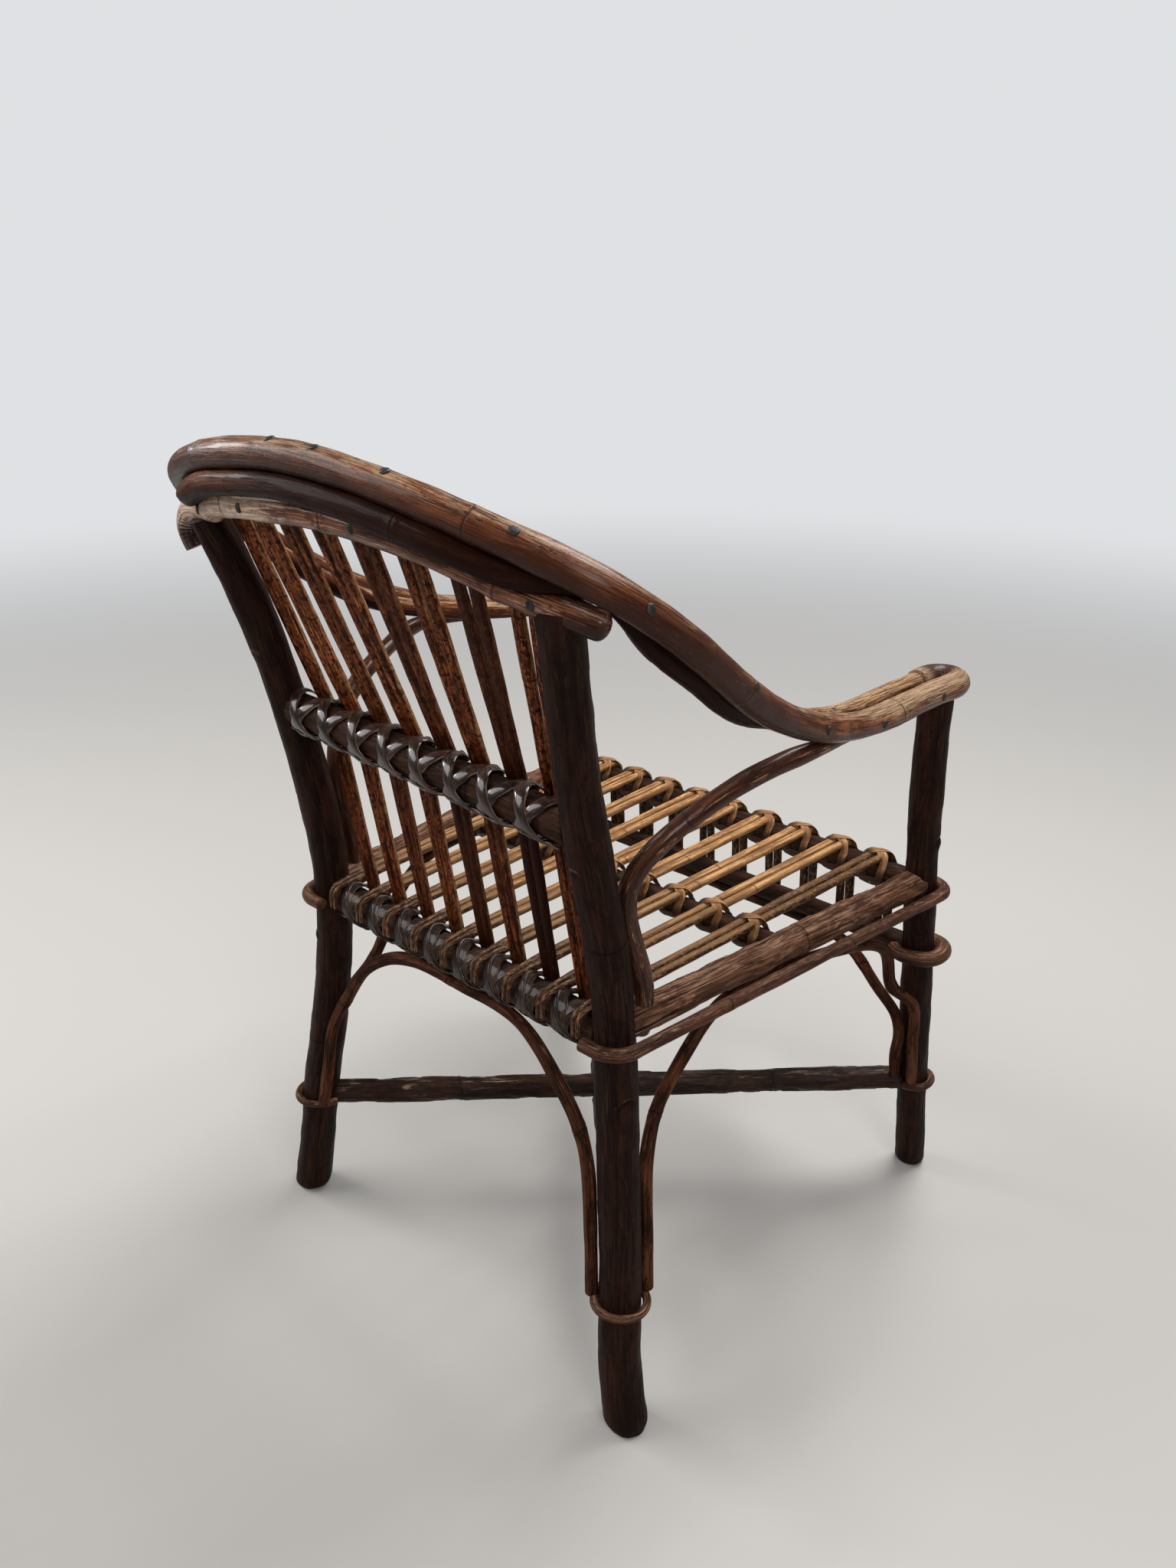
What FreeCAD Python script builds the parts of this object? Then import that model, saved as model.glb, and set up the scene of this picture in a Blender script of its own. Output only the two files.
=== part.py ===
import FreeCAD, Part
import math
import os
from FreeCAD import Vector

# Child's rattan armchair, in millimetres. Z is up from the floor, the front
# faces -Y, and the sitter's right is -X.

# Overall sizes
foot_width_back = 305.0
foot_width_front = 316.0
foot_depth = 323.0
seat_width_back = 248.0
seat_width_front = 314.0
seat_depth = 271.0
seat_height = 244.0
arm_height = 388.6
crest_height = 541.3
lumbar_height = 374.5
tie_height = 80.0
apron_height = 195.0

# Heights over which the hoop bends up from the arms and over into the crest
hoop_bend = 152.7

# The left side of the back was bent higher than the right
post_lift = 8.0
lumbar_lift = 5.0

# Distance of the feet's centre in front of the part's origin
feet_forward = 33.0

# Diameters of the canes
back_post_foot = 25.0
back_post_head = 21.5
front_post_size = 21.0
outer_hoop_size = 16.0
inner_hoop_size = 12.0
crest_size = 14.0
lumbar_size = 20.0
seat_rail_size = 20.0
front_rail_size = 18.0
middle_rail_size = 14.0
apron_size = 14.0
side_rail_size = 18.0
arch_size = 9.0
brace_size = 11.0
binding_size = 8.0
leg_tie_size = 5.0
front_ring_size = 11.0
stretcher_size = 16.0

# Slats, in pairs
back_pairs = 8
seat_pairs = 9
slat_thickness = 4.4
back_slat_top = 7.5
back_slat_foot = 5.4
seat_slat_front = 6.2
seat_slat_back = 4.6
back_pitch_top = 31.5
back_pitch_lumbar = 26.6
lumbar_shift = 4.5
seat_pitch_back = 26.6
seat_pitch_front = 31.0

# Lashing peel, nails and clearances
lumbar_peel = 2.4
seat_back_peel = 2.0
seat_peel = 2.2
peel_bend = 2.6
nail_head = 5.0
nail_shank = 1.8
nail_proud = 0.8
fit = 0.2
cope = 0.4
cross_gap = 0.6

# Values worked out from the ones above
seat_top = seat_height + seat_rail_size / 2
slat_level = seat_top + fit + slat_thickness / 2
side_rail_height = seat_top + slat_thickness - side_rail_size / 2
back_foot_y = foot_depth / 2
front_foot_y = -foot_depth / 2
back_seat_y = seat_depth / 2 + 9
front_seat_y = back_seat_y - seat_depth
post_top = crest_height - 47.3
hoop_stack = outer_hoop_size / 2 + inner_hoop_size / 2 + fit
arm_spread = front_post_size / 2 - 0.5


def point(x, y, z):
    return Vector(x, y, z)


def spline(points):
    curve = Part.BSplineCurve()
    curve.interpolate(points)
    return curve


def at_height(curve, z):
    low, high = curve.FirstParameter, curve.LastParameter
    for _ in range(50):
        middle = (low + high) / 2
        if curve.value(middle).z < z:
            low = middle
        else:
            high = middle
    return curve.value(low)


def sweep(path, section):
    return path.makePipeShell([section], True, False)


def round_section(path, diameter):
    first = path.OrderedEdges[0]
    start = first.valueAt(first.FirstParameter)
    along = first.tangentAt(first.FirstParameter)
    return Part.Wire(Part.makeCircle(diameter / 2, start, along))


def bend_edge(start, corner, end):
    # Arc that leaves start toward corner and reaches end from it
    arriving = (corner - start).normalize()
    leaving = (end - corner).normalize()
    turn = arriving.getAngle(leaving)
    if turn < 0.002:
        return Part.makeLine(start, end)
    bend = (corner - start).Length / math.tan(turn / 2)
    inward = (leaving - arriving).normalize()
    middle = corner + inward * (bend / math.cos(turn / 2) - bend)
    return Part.Arc(start, middle, end).toShape()


def arc_path(curve, step=24):
    # The curve as pairs of arcs that meet without a kink
    count = max(2, math.ceil(curve.length() / step))
    span = curve.LastParameter - curve.FirstParameter
    places = [curve.FirstParameter + span * index / count for index in range(count + 1)]
    edges = []
    for one, two in zip(places, places[1:]):
        start, end = curve.value(one), curve.value(two)
        leave, arrive = curve.tangent(one)[0], curve.tangent(two)[0]
        chord = end - start
        both = leave + arrive
        bend = 1 - leave.dot(arrive)
        if bend < 1e-6:
            edges.append(Part.makeLine(start, end))
            continue
        reach = math.sqrt(chord.dot(both) ** 2 + 2 * bend * chord.dot(chord))
        reach = (reach - chord.dot(both)) / (2 * bend)
        joint = (start + end + (leave - arrive) * reach) * 0.5
        edges.append(bend_edge(start, start + leave * reach, joint))
        edges.append(bend_edge(joint, end - arrive * reach, end))
    return Part.Wire(edges)


def cane(curve, diameter, end_diameter=None):
    path = arc_path(curve)
    section = round_section(path, diameter)
    if end_diameter is None:
        return sweep(path, section)
    last = path.OrderedEdges[-1]
    end = last.valueAt(last.LastParameter)
    along = last.tangentAt(last.LastParameter)
    end_section = Part.Wire(Part.makeCircle(end_diameter / 2, end, along))
    return path.makePipeShell([section, end_section], True, False)


def bar(start, end, diameter):
    along = end - start
    return Part.makeCylinder(diameter / 2, along.Length, start, along)


def fitted(shape, others):
    for other in others:
        shape = shape.cut(other)
    return max(shape.Solids, key=lambda solid: solid.Volume)


def seat_for(curve, height, diameter, reach):
    # Round notch that takes a leaning pole at this height
    start, end = at_height(curve, height - reach), at_height(curve, height + reach)
    return bar(start, end, diameter + 2 * (fit + cope))


def bent_wire(corners, radius):
    edges = []
    start = corners[0]
    for before, corner, after in zip(corners, corners[1:], corners[2:]):
        arriving = (corner - before).normalize()
        leaving = (after - corner).normalize()
        turn = arriving.getAngle(leaving)
        if turn < 0.02:
            continue
        limit = 0.48 * min((corner - before).Length, (after - corner).Length)
        reach = min(radius * math.tan(turn / 2), limit)
        first = corner - arriving * reach
        last = corner + leaving * reach
        if (first - start).Length > 1e-4:
            edges.append(Part.makeLine(start, first))
        edges.append(bend_edge(first, corner, last))
        start = last
    edges.append(Part.makeLine(start, corners[-1]))
    return Part.Wire(edges)


def collar(curve, post_size, diameter, height, toward, opening):
    # Level ring round a post, open on the side that faces another piece
    centre = at_height(curve, height)
    radius = (post_size + diameter) / 2 + 2 * fit
    facing = math.atan2(toward.y, toward.x)
    half = math.asin(min(0.95, opening / (radius - diameter / 2)))

    def spot(angle):
        return centre + point(math.cos(facing + angle), math.sin(facing + angle), 0) * radius

    ring = Part.Arc(spot(half), spot(math.pi), spot(2 * math.pi - half))
    path = Part.Wire(ring.toShape())
    return sweep(path, round_section(path, diameter))


# Posts. Each is a bent pole that stands on the floor.

def back_post_curve(side):
    half = seat_width_back / 2
    foot = foot_width_back / 2
    lean = (back_seat_y - back_foot_y - 1) / (seat_height - 4)
    rows = [
        (foot + (foot - half) * 0.06, back_foot_y + 1, -6),
        (foot, back_foot_y + 1, 0),
        (half + (foot - half) * 0.62, back_foot_y + 1 + lean * tie_height, tie_height),
        (half + (foot - half) * 0.24, back_seat_y + 3.5, seat_height * 0.66),
        (half, back_seat_y, seat_height - 6),
        (half - 2.5, back_seat_y + 7.5, (seat_height + lumbar_height) / 2),
        (half - 4, back_seat_y + 21.5, lumbar_height),
        (half + 0.5, back_seat_y + 36, (lumbar_height + post_top) / 2),
        (half + 10, back_seat_y + 54, post_top),
    ]
    if side > 0:
        rows[-1] = (half + 11, back_seat_y + 56, post_top + post_lift / 2)
    return spline([point(side * x, y, z) for x, y, z in rows])


def back_post_size(height):
    return back_post_foot + (back_post_head - back_post_foot) * height / post_top


def front_post_curve(side):
    foot = foot_width_front / 2
    half = seat_width_front / 2
    drop = (front_seat_y - front_foot_y) / seat_height
    rows = [
        (foot, front_foot_y - 1, -6),
        (foot, front_foot_y, 0),
        (foot, front_foot_y + drop * tie_height * 1.15, tie_height),
        (foot, front_foot_y + drop * seat_height * 0.7, seat_height * 0.66),
        (half, front_seat_y, seat_height),
        (half, front_seat_y + 8, (seat_height + arm_height) / 2),
        (half, front_seat_y + 10.5, arm_height + 4),
    ]
    return spline([point(side * x, y, z) for x, y, z in rows])


sides = {"right": -1, "left": 1}
floor = Part.makeBox(800, 800, 60, point(-400, -400, -60))
back_curves = {name: back_post_curve(side) for name, side in sides.items()}
front_curves = {name: front_post_curve(side) for name, side in sides.items()}
parts = {}

# Outer hoop: both arms and the top of the back in one cane. Each arm rounds
# the front post's top. The left side was bent a little higher than the right.
arm_x = seat_width_front / 2 + arm_spread - 1
arm_front = front_seat_y + 10.5
hoop_back = back_seat_y + 84.5
rise = crest_height - arm_height
bend = min(hoop_bend, rise)
hoop_rows = [
    (-2 * arm_spread, arm_front + 6, 0, 0),
    (-2 * arm_spread, arm_front - 4, 0, 0),
    (-1.7 * arm_spread, arm_front - 12, 0, 0),
    (-arm_spread, arm_front - 15.5, 0, 0),
    (-0.3 * arm_spread, arm_front - 12, 0, 0),
    (0, arm_front - 4, 0, 0),
    (-0.5, arm_front + 10, 0, 0),
    (-1.2, hoop_back - 286.5, 0, 4.2),
    (0.9, hoop_back - 227.7, 0.031 * bend, 8.3),
    (1.1, hoop_back - 168, 0.151 * bend, 9.5),
    (4.5, hoop_back - 114.6, 0.354 * rise, 8.4),
    (5.6, hoop_back - 69.2, 0.572 * rise, 7.2),
    (-7.6, hoop_back - 34.2, rise - 0.259 * bend, 7.0),
    (-41.6, hoop_back - 14, rise - 0.148 * bend, 7.0),
    (-96.9, hoop_back - 3.5, rise - 0.055 * bend, 4.5),
    (-arm_x, hoop_back, rise, 0),
]
right_points = [point(-arm_x - x, y, arm_height + z) for x, y, z, lift in hoop_rows]
left_points = [point(arm_x + x, y, arm_height + z + lift) for x, y, z, lift in hoop_rows]
hoop_curve = spline(right_points + left_points[-2::-1])


def hoop_at_side(side, row):
    points = right_points if side < 0 else left_points
    return points[row]


# Inner hoop: beside the outer one on the arms, inside it at the back's corners and
# under it along the crest. Rows give the share of the bend and the way it is offset.
nest_rows = [
    (0.1, 1, 0, 0),
    (0.3, 0.85, 0, -0.52),
    (0.58, 0.85, 0, -0.52),
    (0.74, 0.62, -0.62, -0.15),
    (0.91, 0, 0.12, -1),
]


def bend_share(height):
    # From 0 at the arms to 1 at the crest, whatever length lies between the two bends
    above, below = height - arm_height, crest_height - height
    if above < 0.3 * bend:
        return above / bend
    if below < 0.42 * bend:
        return 1 - below / bend
    return 0.3 + 0.28 * (above - 0.3 * bend) / (rise - 0.72 * bend)


def nested(parameter):
    centre = hoop_curve.value(parameter)
    along = hoop_curve.tangent(parameter)[0]
    high = min(max(bend_share(centre.z), 0.1), 0.91)
    for lower, upper in zip(nest_rows, nest_rows[1:]):
        if lower[0] <= high <= upper[0]:
            share = (high - lower[0]) / (upper[0] - lower[0])
            x, y, z = [a + (b - a) * share for a, b in zip(lower[1:], upper[1:])]
    inward = point(-math.copysign(x, centre.x), y, z)
    inward = (inward - along * inward.dot(along)).normalize()
    leave = min((high - 0.1) / 0.2, 1)
    return centre + inward * (2 * arm_spread * (1 - leave) + hoop_stack * leave)


first = hoop_curve.parameter(hoop_at_side(-1, 6))
last = hoop_curve.parameter(hoop_at_side(1, 6))
steps = 44
inner_curve = spline([nested(first + (last - first) * index / steps)
                      for index in range(steps + 1)])
outer_hoop = cane(hoop_curve, outer_hoop_size)
inner_hoop = cane(inner_curve, inner_hoop_size)
inner_groove = cane(inner_curve, inner_hoop_size + 2 * fit)

# Crest rail: bowed to the rear, seated in the tops of the back posts. Near its ends
# it is grooved where the inner hoop crosses it.
post_tops = {name: at_height(curve, post_top - 1) for name, curve in back_curves.items()}
crest_x = post_tops["left"].x
crest_y = post_tops["left"].y
crest_rows = [
    (1.13 * crest_x, crest_y - 7.5, post_top - 9.5, 1),
    (crest_x, crest_y + 1.5, post_top - 3.5, 1),
    (0.86 * crest_x, crest_y + 7.5, post_top + 2, 0.9),
    (0.5 * crest_x, crest_y + 18.5, post_top + 15, 0.2),
    (0, crest_y + 23.5, post_top + 21, 0),
]
# The left end curls down round the outside of its post
crest_curl = [
    (crest_x + 21.5, crest_y - 3.2, post_top - 27, 1),
    (crest_x + 24, crest_y - 1.2, post_top - 17, 1),
    (crest_x + 20.5, crest_y + 0.3, post_top - 8.7, 1),
    (crest_x + 12, crest_y + 1.3, post_top - 4, 1),
]
crest_left = [point(x, y, z + post_lift * share) for x, y, z, share in crest_curl + crest_rows[1:]]
crest_right = [point(-x, y, z) for x, y, z, share in crest_rows]
crest_curve = spline(crest_right + crest_left[-2::-1])
crest_rail = fitted(cane(crest_curve, crest_size), [inner_groove])

# Arm braces: from the seat beside the back posts up to the arms' undersides
under_arm = (outer_hoop_size + brace_size) / 2 + fit + cope


def arm_over(side, y):
    low, high = hoop_curve.FirstParameter, hoop_curve.LastParameter
    places = [low + (high - low) * index / 1600 for index in range(1601)]
    outer = [t for t in places if hoop_curve.value(t).x * side > arm_x - 4]
    best = min(outer, key=lambda t: abs(hoop_curve.value(t).y - y))
    rise = hoop_curve.tangent(best)[0].z
    return hoop_curve.value(best), math.sqrt(1 - rise ** 2)


def below_arm(side, y, aside):
    spot, level = arm_over(side, y)
    return abs(spot.x) - aside, y, spot.z - math.sqrt(under_arm ** 2 - aside ** 2) / level, 0


def brace_curve(side):
    post = at_height(back_curves["left"], seat_height)
    stand = (back_post_size(seat_height) + brace_size) / 2 + fit + cope
    low = at_height(back_curves["left"], seat_height + 0.35 * (arm_height - seat_height))
    mid = at_height(back_curves["left"], seat_height + 0.6 * (arm_height - seat_height))
    lift = {-1: 0, 1: 1}[side]
    rows = [
        (post.x + 3, post.y - stand, seat_height - 2, 0),
        (low.x + 2, low.y - stand - 0.8, low.z, 0),
        (mid.x + 3, mid.y - stand - 3, mid.z, 0),
        (post.x + 14, post.y - 34, arm_height - 27, 6),
        (post.x + 25, post.y - 72, arm_height - 11, 9),
        below_arm(side, post.y - 120, 5),
        below_arm(side, post.y - 143, 5),
        below_arm(side, post.y - 166, 5),
    ]
    return spline([point(side * x, y, z + lift * raised) for x, y, z, raised in rows])


brace_curves = {name: brace_curve(side) for name, side in sides.items()}
braces = {name: cane(curve, brace_size) for name, curve in brace_curves.items()}


# Rails of the back and the seat, coped to the posts
def cross_rail(curves, post_size, heights, diameter):
    ends = [at_height(curves[name], height) for name, height in heights.items()]
    notches = [seat_for(curves[name], height, post_size, diameter)
               for name, height in heights.items()]
    return fitted(bar(ends[0], ends[1], diameter), notches)


def level(height, lift=0):
    return {"right": height - lift, "left": height + lift}


lumbar_rail = cross_rail(back_curves, back_post_size(lumbar_height),
                         level(lumbar_height, lumbar_lift), lumbar_size)
seat_back_rail = cross_rail(back_curves, back_post_size(seat_height), level(seat_height),
                            seat_rail_size)
front_axis = seat_top - front_rail_size / 2
seat_front_rail = cross_rail(front_curves, front_post_size, level(front_axis), front_rail_size)
apron_rail = cross_rail(front_curves, front_post_size, level(apron_height), apron_size)


def side_rail(name, side):
    back = at_height(back_curves[name], side_rail_height)
    front = at_height(front_curves[name], side_rail_height)
    post_size = back_post_size(side_rail_height)
    start = back + (front - back).normalize() * ((post_size + brace_size) / 2 + fit)
    low = brace_curves[name].value(brace_curves[name].FirstParameter)
    high = at_height(brace_curves[name], side_rail_height + side_rail_size)
    brace_notch = bar(low - (high - low), high, brace_size + 2 * (fit + 3 * cope))
    crossing = [at_height(front_curves[end], front_axis) for end in sides]
    notches = [brace_notch, bar(crossing[0], crossing[1], front_rail_size + 2 * fit),
               seat_for(back_curves[name], side_rail_height, post_size, side_rail_size),
               seat_for(front_curves[name], side_rail_height, front_post_size, side_rail_size)]
    return fitted(bar(start, front, side_rail_size), notches)


side_rails = {name: side_rail(name, side) for name, side in sides.items()}
middle_axis = seat_top - middle_rail_size / 2


def side_axis(name, share):
    back = at_height(back_curves[name], side_rail_height)
    front = at_height(front_curves[name], side_rail_height)
    return back + (front - back) * share


middle_ends = [side_axis(name, 0.5) for name in sides]
middle_ends = [point(end.x, end.y, middle_axis) for end in middle_ends]
middle_notches = [bar(side_axis(name, 0.35), side_axis(name, 0.65), side_rail_size + 2 * fit)
                  for name in sides]
seat_middle_rail = fitted(bar(middle_ends[0], middle_ends[1], middle_rail_size),
                          middle_notches)

# Arched leg braces. Their legs stand against the posts at set angles.
stretcher_level = tie_height + 1
tie_top = stretcher_level + leg_tie_size / 2 + fit
stretcher_top = stretcher_level + stretcher_size / 2 + fit
ring_foot = apron_height - front_ring_size / 2
back_stand = (back_post_size(tie_height) + arch_size) / 2 + fit
front_stand = (front_post_size + arch_size) / 2 + fit + cope
back_leg_angles = (-110, 30)
front_leg_angles = (115, 65)
back_heights = [tie_top, tie_top + 20, tie_top + 45, 0.6 * seat_height]
front_heights = [stretcher_top, stretcher_top + 20, (stretcher_top + ring_foot) / 2,
                 ring_foot - 35]
under_side = side_rail_height - (side_rail_size + arch_size) / 2 - fit


def beside(curve, height, side, degrees, stand):
    # Off the leaning post's axis by the stand, measured square to the post
    centre = at_height(curve, height)
    turn = math.radians(degrees)
    toward = point(-side * math.cos(turn), math.sin(turn), 0)
    along = (at_height(curve, height + 5) - at_height(curve, height - 5)).normalize()
    return centre + toward * (stand / math.sqrt(1 - toward.dot(along) ** 2))


def arch_leg(curve, side, degrees, stand, heights):
    return [beside(curve, height, side, degrees, stand) for height in heights]


def side_arch_curve(name, side):
    back_leg = arch_leg(back_curves[name], side, back_leg_angles[0], back_stand, back_heights)
    front_leg = arch_leg(front_curves[name], side, front_leg_angles[0], front_stand,
                         front_heights)
    crown = []
    for share, drop in [(0.12, 57), (0.19, 30), (0.29, 6), (0.4, 0), (0.55, 3), (0.73, 11),
                        (0.82, 18), (0.88, 28), (0.905, 44), (0.93, 62)]:
        axis = side_axis(name, share)
        crown.append(point(axis.x, axis.y, under_side - drop))
    return spline(back_leg + crown + front_leg[::-1])


under_back = seat_height - seat_rail_size / 2 - 2 * seat_back_peel - cross_gap \
    - 2 * fit - arch_size / 2 - 0.4
under_apron = apron_height - (apron_size + arch_size) / 2 - fit - cope


def cross_arch_curve(curves, degrees, stand, half, top, heights, rows):
    legs = {name: arch_leg(curves[name], sides[name], degrees, stand, heights)
            for name in sides}
    y = at_height(curves["left"], top).y
    crown = [point(-share * half, y + shift, top - drop) for share, shift, drop in rows]
    crown += [point(share * half, y + shift, top - drop) for share, shift, drop in rows[-2::-1]]
    return spline(legs["right"] + crown + legs["left"][::-1])


back_crown = [(0.88, 8, 56), (0.68, 6, 21), (0.44, 2, 3), (0, 0, 0)]
front_crown = [(0.86, 6, 30), (0.68, 2, 8), (0.44, 0, 0), (0, 0, 0)]
arches = {
    "side_arch_right": cane(side_arch_curve("right", -1), arch_size),
    "side_arch_left": cane(side_arch_curve("left", 1), arch_size),
    "back_arch": cane(cross_arch_curve(back_curves, back_leg_angles[1], back_stand,
                                       seat_width_back / 2, under_back, back_heights,
                                       back_crown), arch_size),
    "front_arch": cane(cross_arch_curve(front_curves, front_leg_angles[1], front_stand,
                                        seat_width_front / 2, under_apron,
                                        front_heights[:3], front_crown), arch_size),
}


# Stretchers: corner to corner, one over the other, coped to the posts
def stretcher(back_name, front_name, height):
    back, front = back_curves[back_name], front_curves[front_name]
    notches = [seat_for(back, height, back_post_size(height), stretcher_size),
               seat_for(front, height, front_post_size, stretcher_size)]
    return fitted(bar(at_height(back, height), at_height(front, height), stretcher_size),
                  notches)


parts["stretcher_upper"] = stretcher("left", "right", stretcher_level)
parts["stretcher_lower"] = stretcher("right", "left", stretcher_level - stretcher_size - fit)

# Ties: thin canes bent round the posts. Where a stretcher or the apron rail meets
# the post at the same level, the tie's ends stop against it.
beside_stretcher = stretcher_size / 2 + 2 * fit
beside_apron = apron_size / 2 + 2 * fit
for name, side in sides.items():
    away = at_height(front_curves["right"], stretcher_level)
    away = away - at_height(back_curves["left"], stretcher_level)
    diagonal = point(-side * abs(away.x), away.y, 0)
    back_opening = beside_stretcher if name == "left" else 2 * fit
    front_opening = beside_stretcher if name == "right" else 2 * fit
    parts["leg_tie_back_" + name] = collar(back_curves[name], back_post_size(stretcher_level),
                                           leg_tie_size, stretcher_level, diagonal, back_opening)
    diagonal = point(-side * abs(away.x), -away.y, 0)
    parts["leg_tie_front_" + name] = collar(front_curves[name], front_post_size, leg_tie_size,
                                            stretcher_level, diagonal, front_opening)
    parts["front_ring_" + name] = collar(front_curves[name], front_post_size, front_ring_size,
                                         apron_height, point(-side, 0, 0), beside_apron)

# Seat bindings: each rounds the back and front post of one side along the side rail
binding_level = seat_height - 1


def seat_binding(name, side):
    half = binding_size / 2 + 2 * fit
    back = at_height(back_curves["right"], binding_level)
    front = at_height(front_curves["right"], binding_level)
    circles = [(back, back_post_size(binding_level) / 2 + half),
               (front, front_post_size / 2 + half)]
    run = front - back
    lean = (circles[0][1] - circles[1][1]) / run.Length
    swing = math.atan2(run.y, run.x) - math.acos(lean)
    turns = [(math.radians(90), swing % (2 * math.pi)), (swing % (2 * math.pi), math.radians(270))]

    def on(circle, angle):
        centre, radius = circle
        return point(-side * (centre.x + math.cos(angle) * radius),
                     centre.y + math.sin(angle) * radius, binding_level)

    tail = point(side * -9, 0, 0)
    edges = [Part.makeLine(on(circles[0], turns[0][0]) + tail, on(circles[0], turns[0][0]))]
    for circle, (begin, finish) in zip(circles, turns):
        if circle is circles[1]:
            edges.append(Part.makeLine(on(circles[0], begin), on(circle, begin)))
        arc = Part.Arc(on(circle, begin), on(circle, (begin + finish) / 2), on(circle, finish))
        edges.append(arc.toShape())
    end = on(circles[1], turns[1][1])
    edges.append(Part.makeLine(end, end + tail))
    path = Part.Wire(edges)
    return sweep(path, round_section(path, binding_size))


for name, side in sides.items():
    parts["seat_binding_" + name] = seat_binding(name, side)


# Slats. Each is a split cane, oval in section, that tapers along its length.
def oval(centre, flat, thick, halves):
    width, depth = flat.Length, thick.Length
    if not halves:
        return Part.Wire(Part.Ellipse(centre + flat, centre + thick, centre).toShape())
    quarter = math.pi / 2
    if width >= depth:
        curve, begin = Part.Ellipse(centre + flat, centre + thick, centre), 0
    else:
        curve, begin = Part.Ellipse(centre + thick, centre - flat, centre), -quarter
    return Part.Wire([Part.ArcOfEllipse(curve, begin, begin + 2 * quarter).toShape(),
                      Part.ArcOfEllipse(curve, begin + 2 * quarter, begin + 4 * quarter).toShape()])


def slat(corners, radius, start_width, end_width):
    path = bent_wire(corners, radius)
    across = point(1, 0, 0)
    depth = slat_thickness * 0.49
    halves = min(start_width, end_width) / 2 < depth * 1.01
    sections = []
    edges = path.OrderedEdges
    for edge, at_end, width in [(edges[0], False, start_width), (edges[-1], True, end_width)]:
        parameter = edge.LastParameter if at_end else edge.FirstParameter
        centre = edge.valueAt(parameter)
        along = edge.tangentAt(parameter)
        flat = (across - along * across.dot(along)).normalize()
        sections.append(oval(centre, flat * width / 2, along.cross(flat) * depth, halves))
    return path.makePipeShell(sections, True, False)


def offsets(count, pitch):
    return [(index - (count - 1) / 2) * pitch for index in range(count)]


lumbar_ends = [at_height(back_curves[name], height)
               for name, height in level(lumbar_height, lumbar_lift).items()]
lumbar_along = (lumbar_ends[1] - lumbar_ends[0]).normalize()


def lumbar_at(x):
    return lumbar_ends[0] + lumbar_along * ((x - lumbar_ends[0].x) / lumbar_along.x)


back_rail_y = at_height(back_curves["left"], seat_height).y
front_rail_y = at_height(front_curves["left"], front_axis).y
apron_y = at_height(front_curves["left"], apron_height).y
back_slat_bend = 60
before_seat = back_rail_y - (seat_rail_size + slat_thickness) / 2 - fit
behind_seat = back_rail_y + (seat_rail_size + slat_thickness) / 2 + fit
slat_foot = seat_height - seat_rail_size / 2 - 2
over_front = front_rail_y - (front_rail_size + slat_thickness) / 2 - fit
before_apron = min(apron_y - (apron_size + slat_thickness) / 2 - fit, over_front)
back_positions = []
seat_positions = []


def crest_at(x):
    low, high = crest_curve.FirstParameter, crest_curve.LastParameter
    for _ in range(50):
        middle = (low + high) / 2
        if crest_curve.value(middle).x < x:
            low = middle
        else:
            high = middle
    return crest_curve.value(low), crest_curve.tangent(low)[0]


def crest_before(x):
    # Where a slat passes in front of the bowed crest rail
    edge, along = crest_at(x + math.copysign(back_slat_top / 2, x))
    stand = (crest_size + slat_thickness) / 2 + fit
    return point(x, edge.y - stand / along.x, crest_at(x)[0].z)


def before_lumbar(centre, head, low):
    # Corner of a leaning slat whose bend just clears the lumbar rail
    corner = centre
    for _ in range(4):
        upper = math.atan2(head.y - corner.y, head.z - corner.z)
        lower = math.atan2(corner.y - low.y, corner.z - low.z)
        stand = ((lumbar_size + slat_thickness) / 2 + fit / 4) / math.cos((upper + lower) / 2)
        stand += back_slat_bend * (1 / math.cos((upper - lower) / 2) - 1)
        corner = centre - point(0, stand, 0)
    return corner


for index, (top, middle, foot) in enumerate(zip(offsets(back_pairs, back_pitch_top),
                                                offsets(back_pairs, back_pitch_lumbar),
                                                offsets(back_pairs, seat_pitch_back))):
    lumbar = middle + lumbar_shift
    pair = []
    for hand in (-1, 1):
        head = crest_before(top + hand * (back_slat_top / 2 + fit))
        low = point(foot + hand * (back_slat_foot / 2 + fit), before_seat, seat_height)
        rail = before_lumbar(lumbar_at(lumbar + hand * (3.5 + fit)), head, low)
        up = (head - rail).normalize()
        corners = [head + up * 7, rail, low, point(low.x, low.y, slat_foot)]
        pair.append(slat(corners, back_slat_bend, back_slat_top, back_slat_foot))
    back_positions.append((lumbar, foot))
    parts["back_slat_pair_%d" % (index + 1)] = Part.makeCompound(pair)

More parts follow.
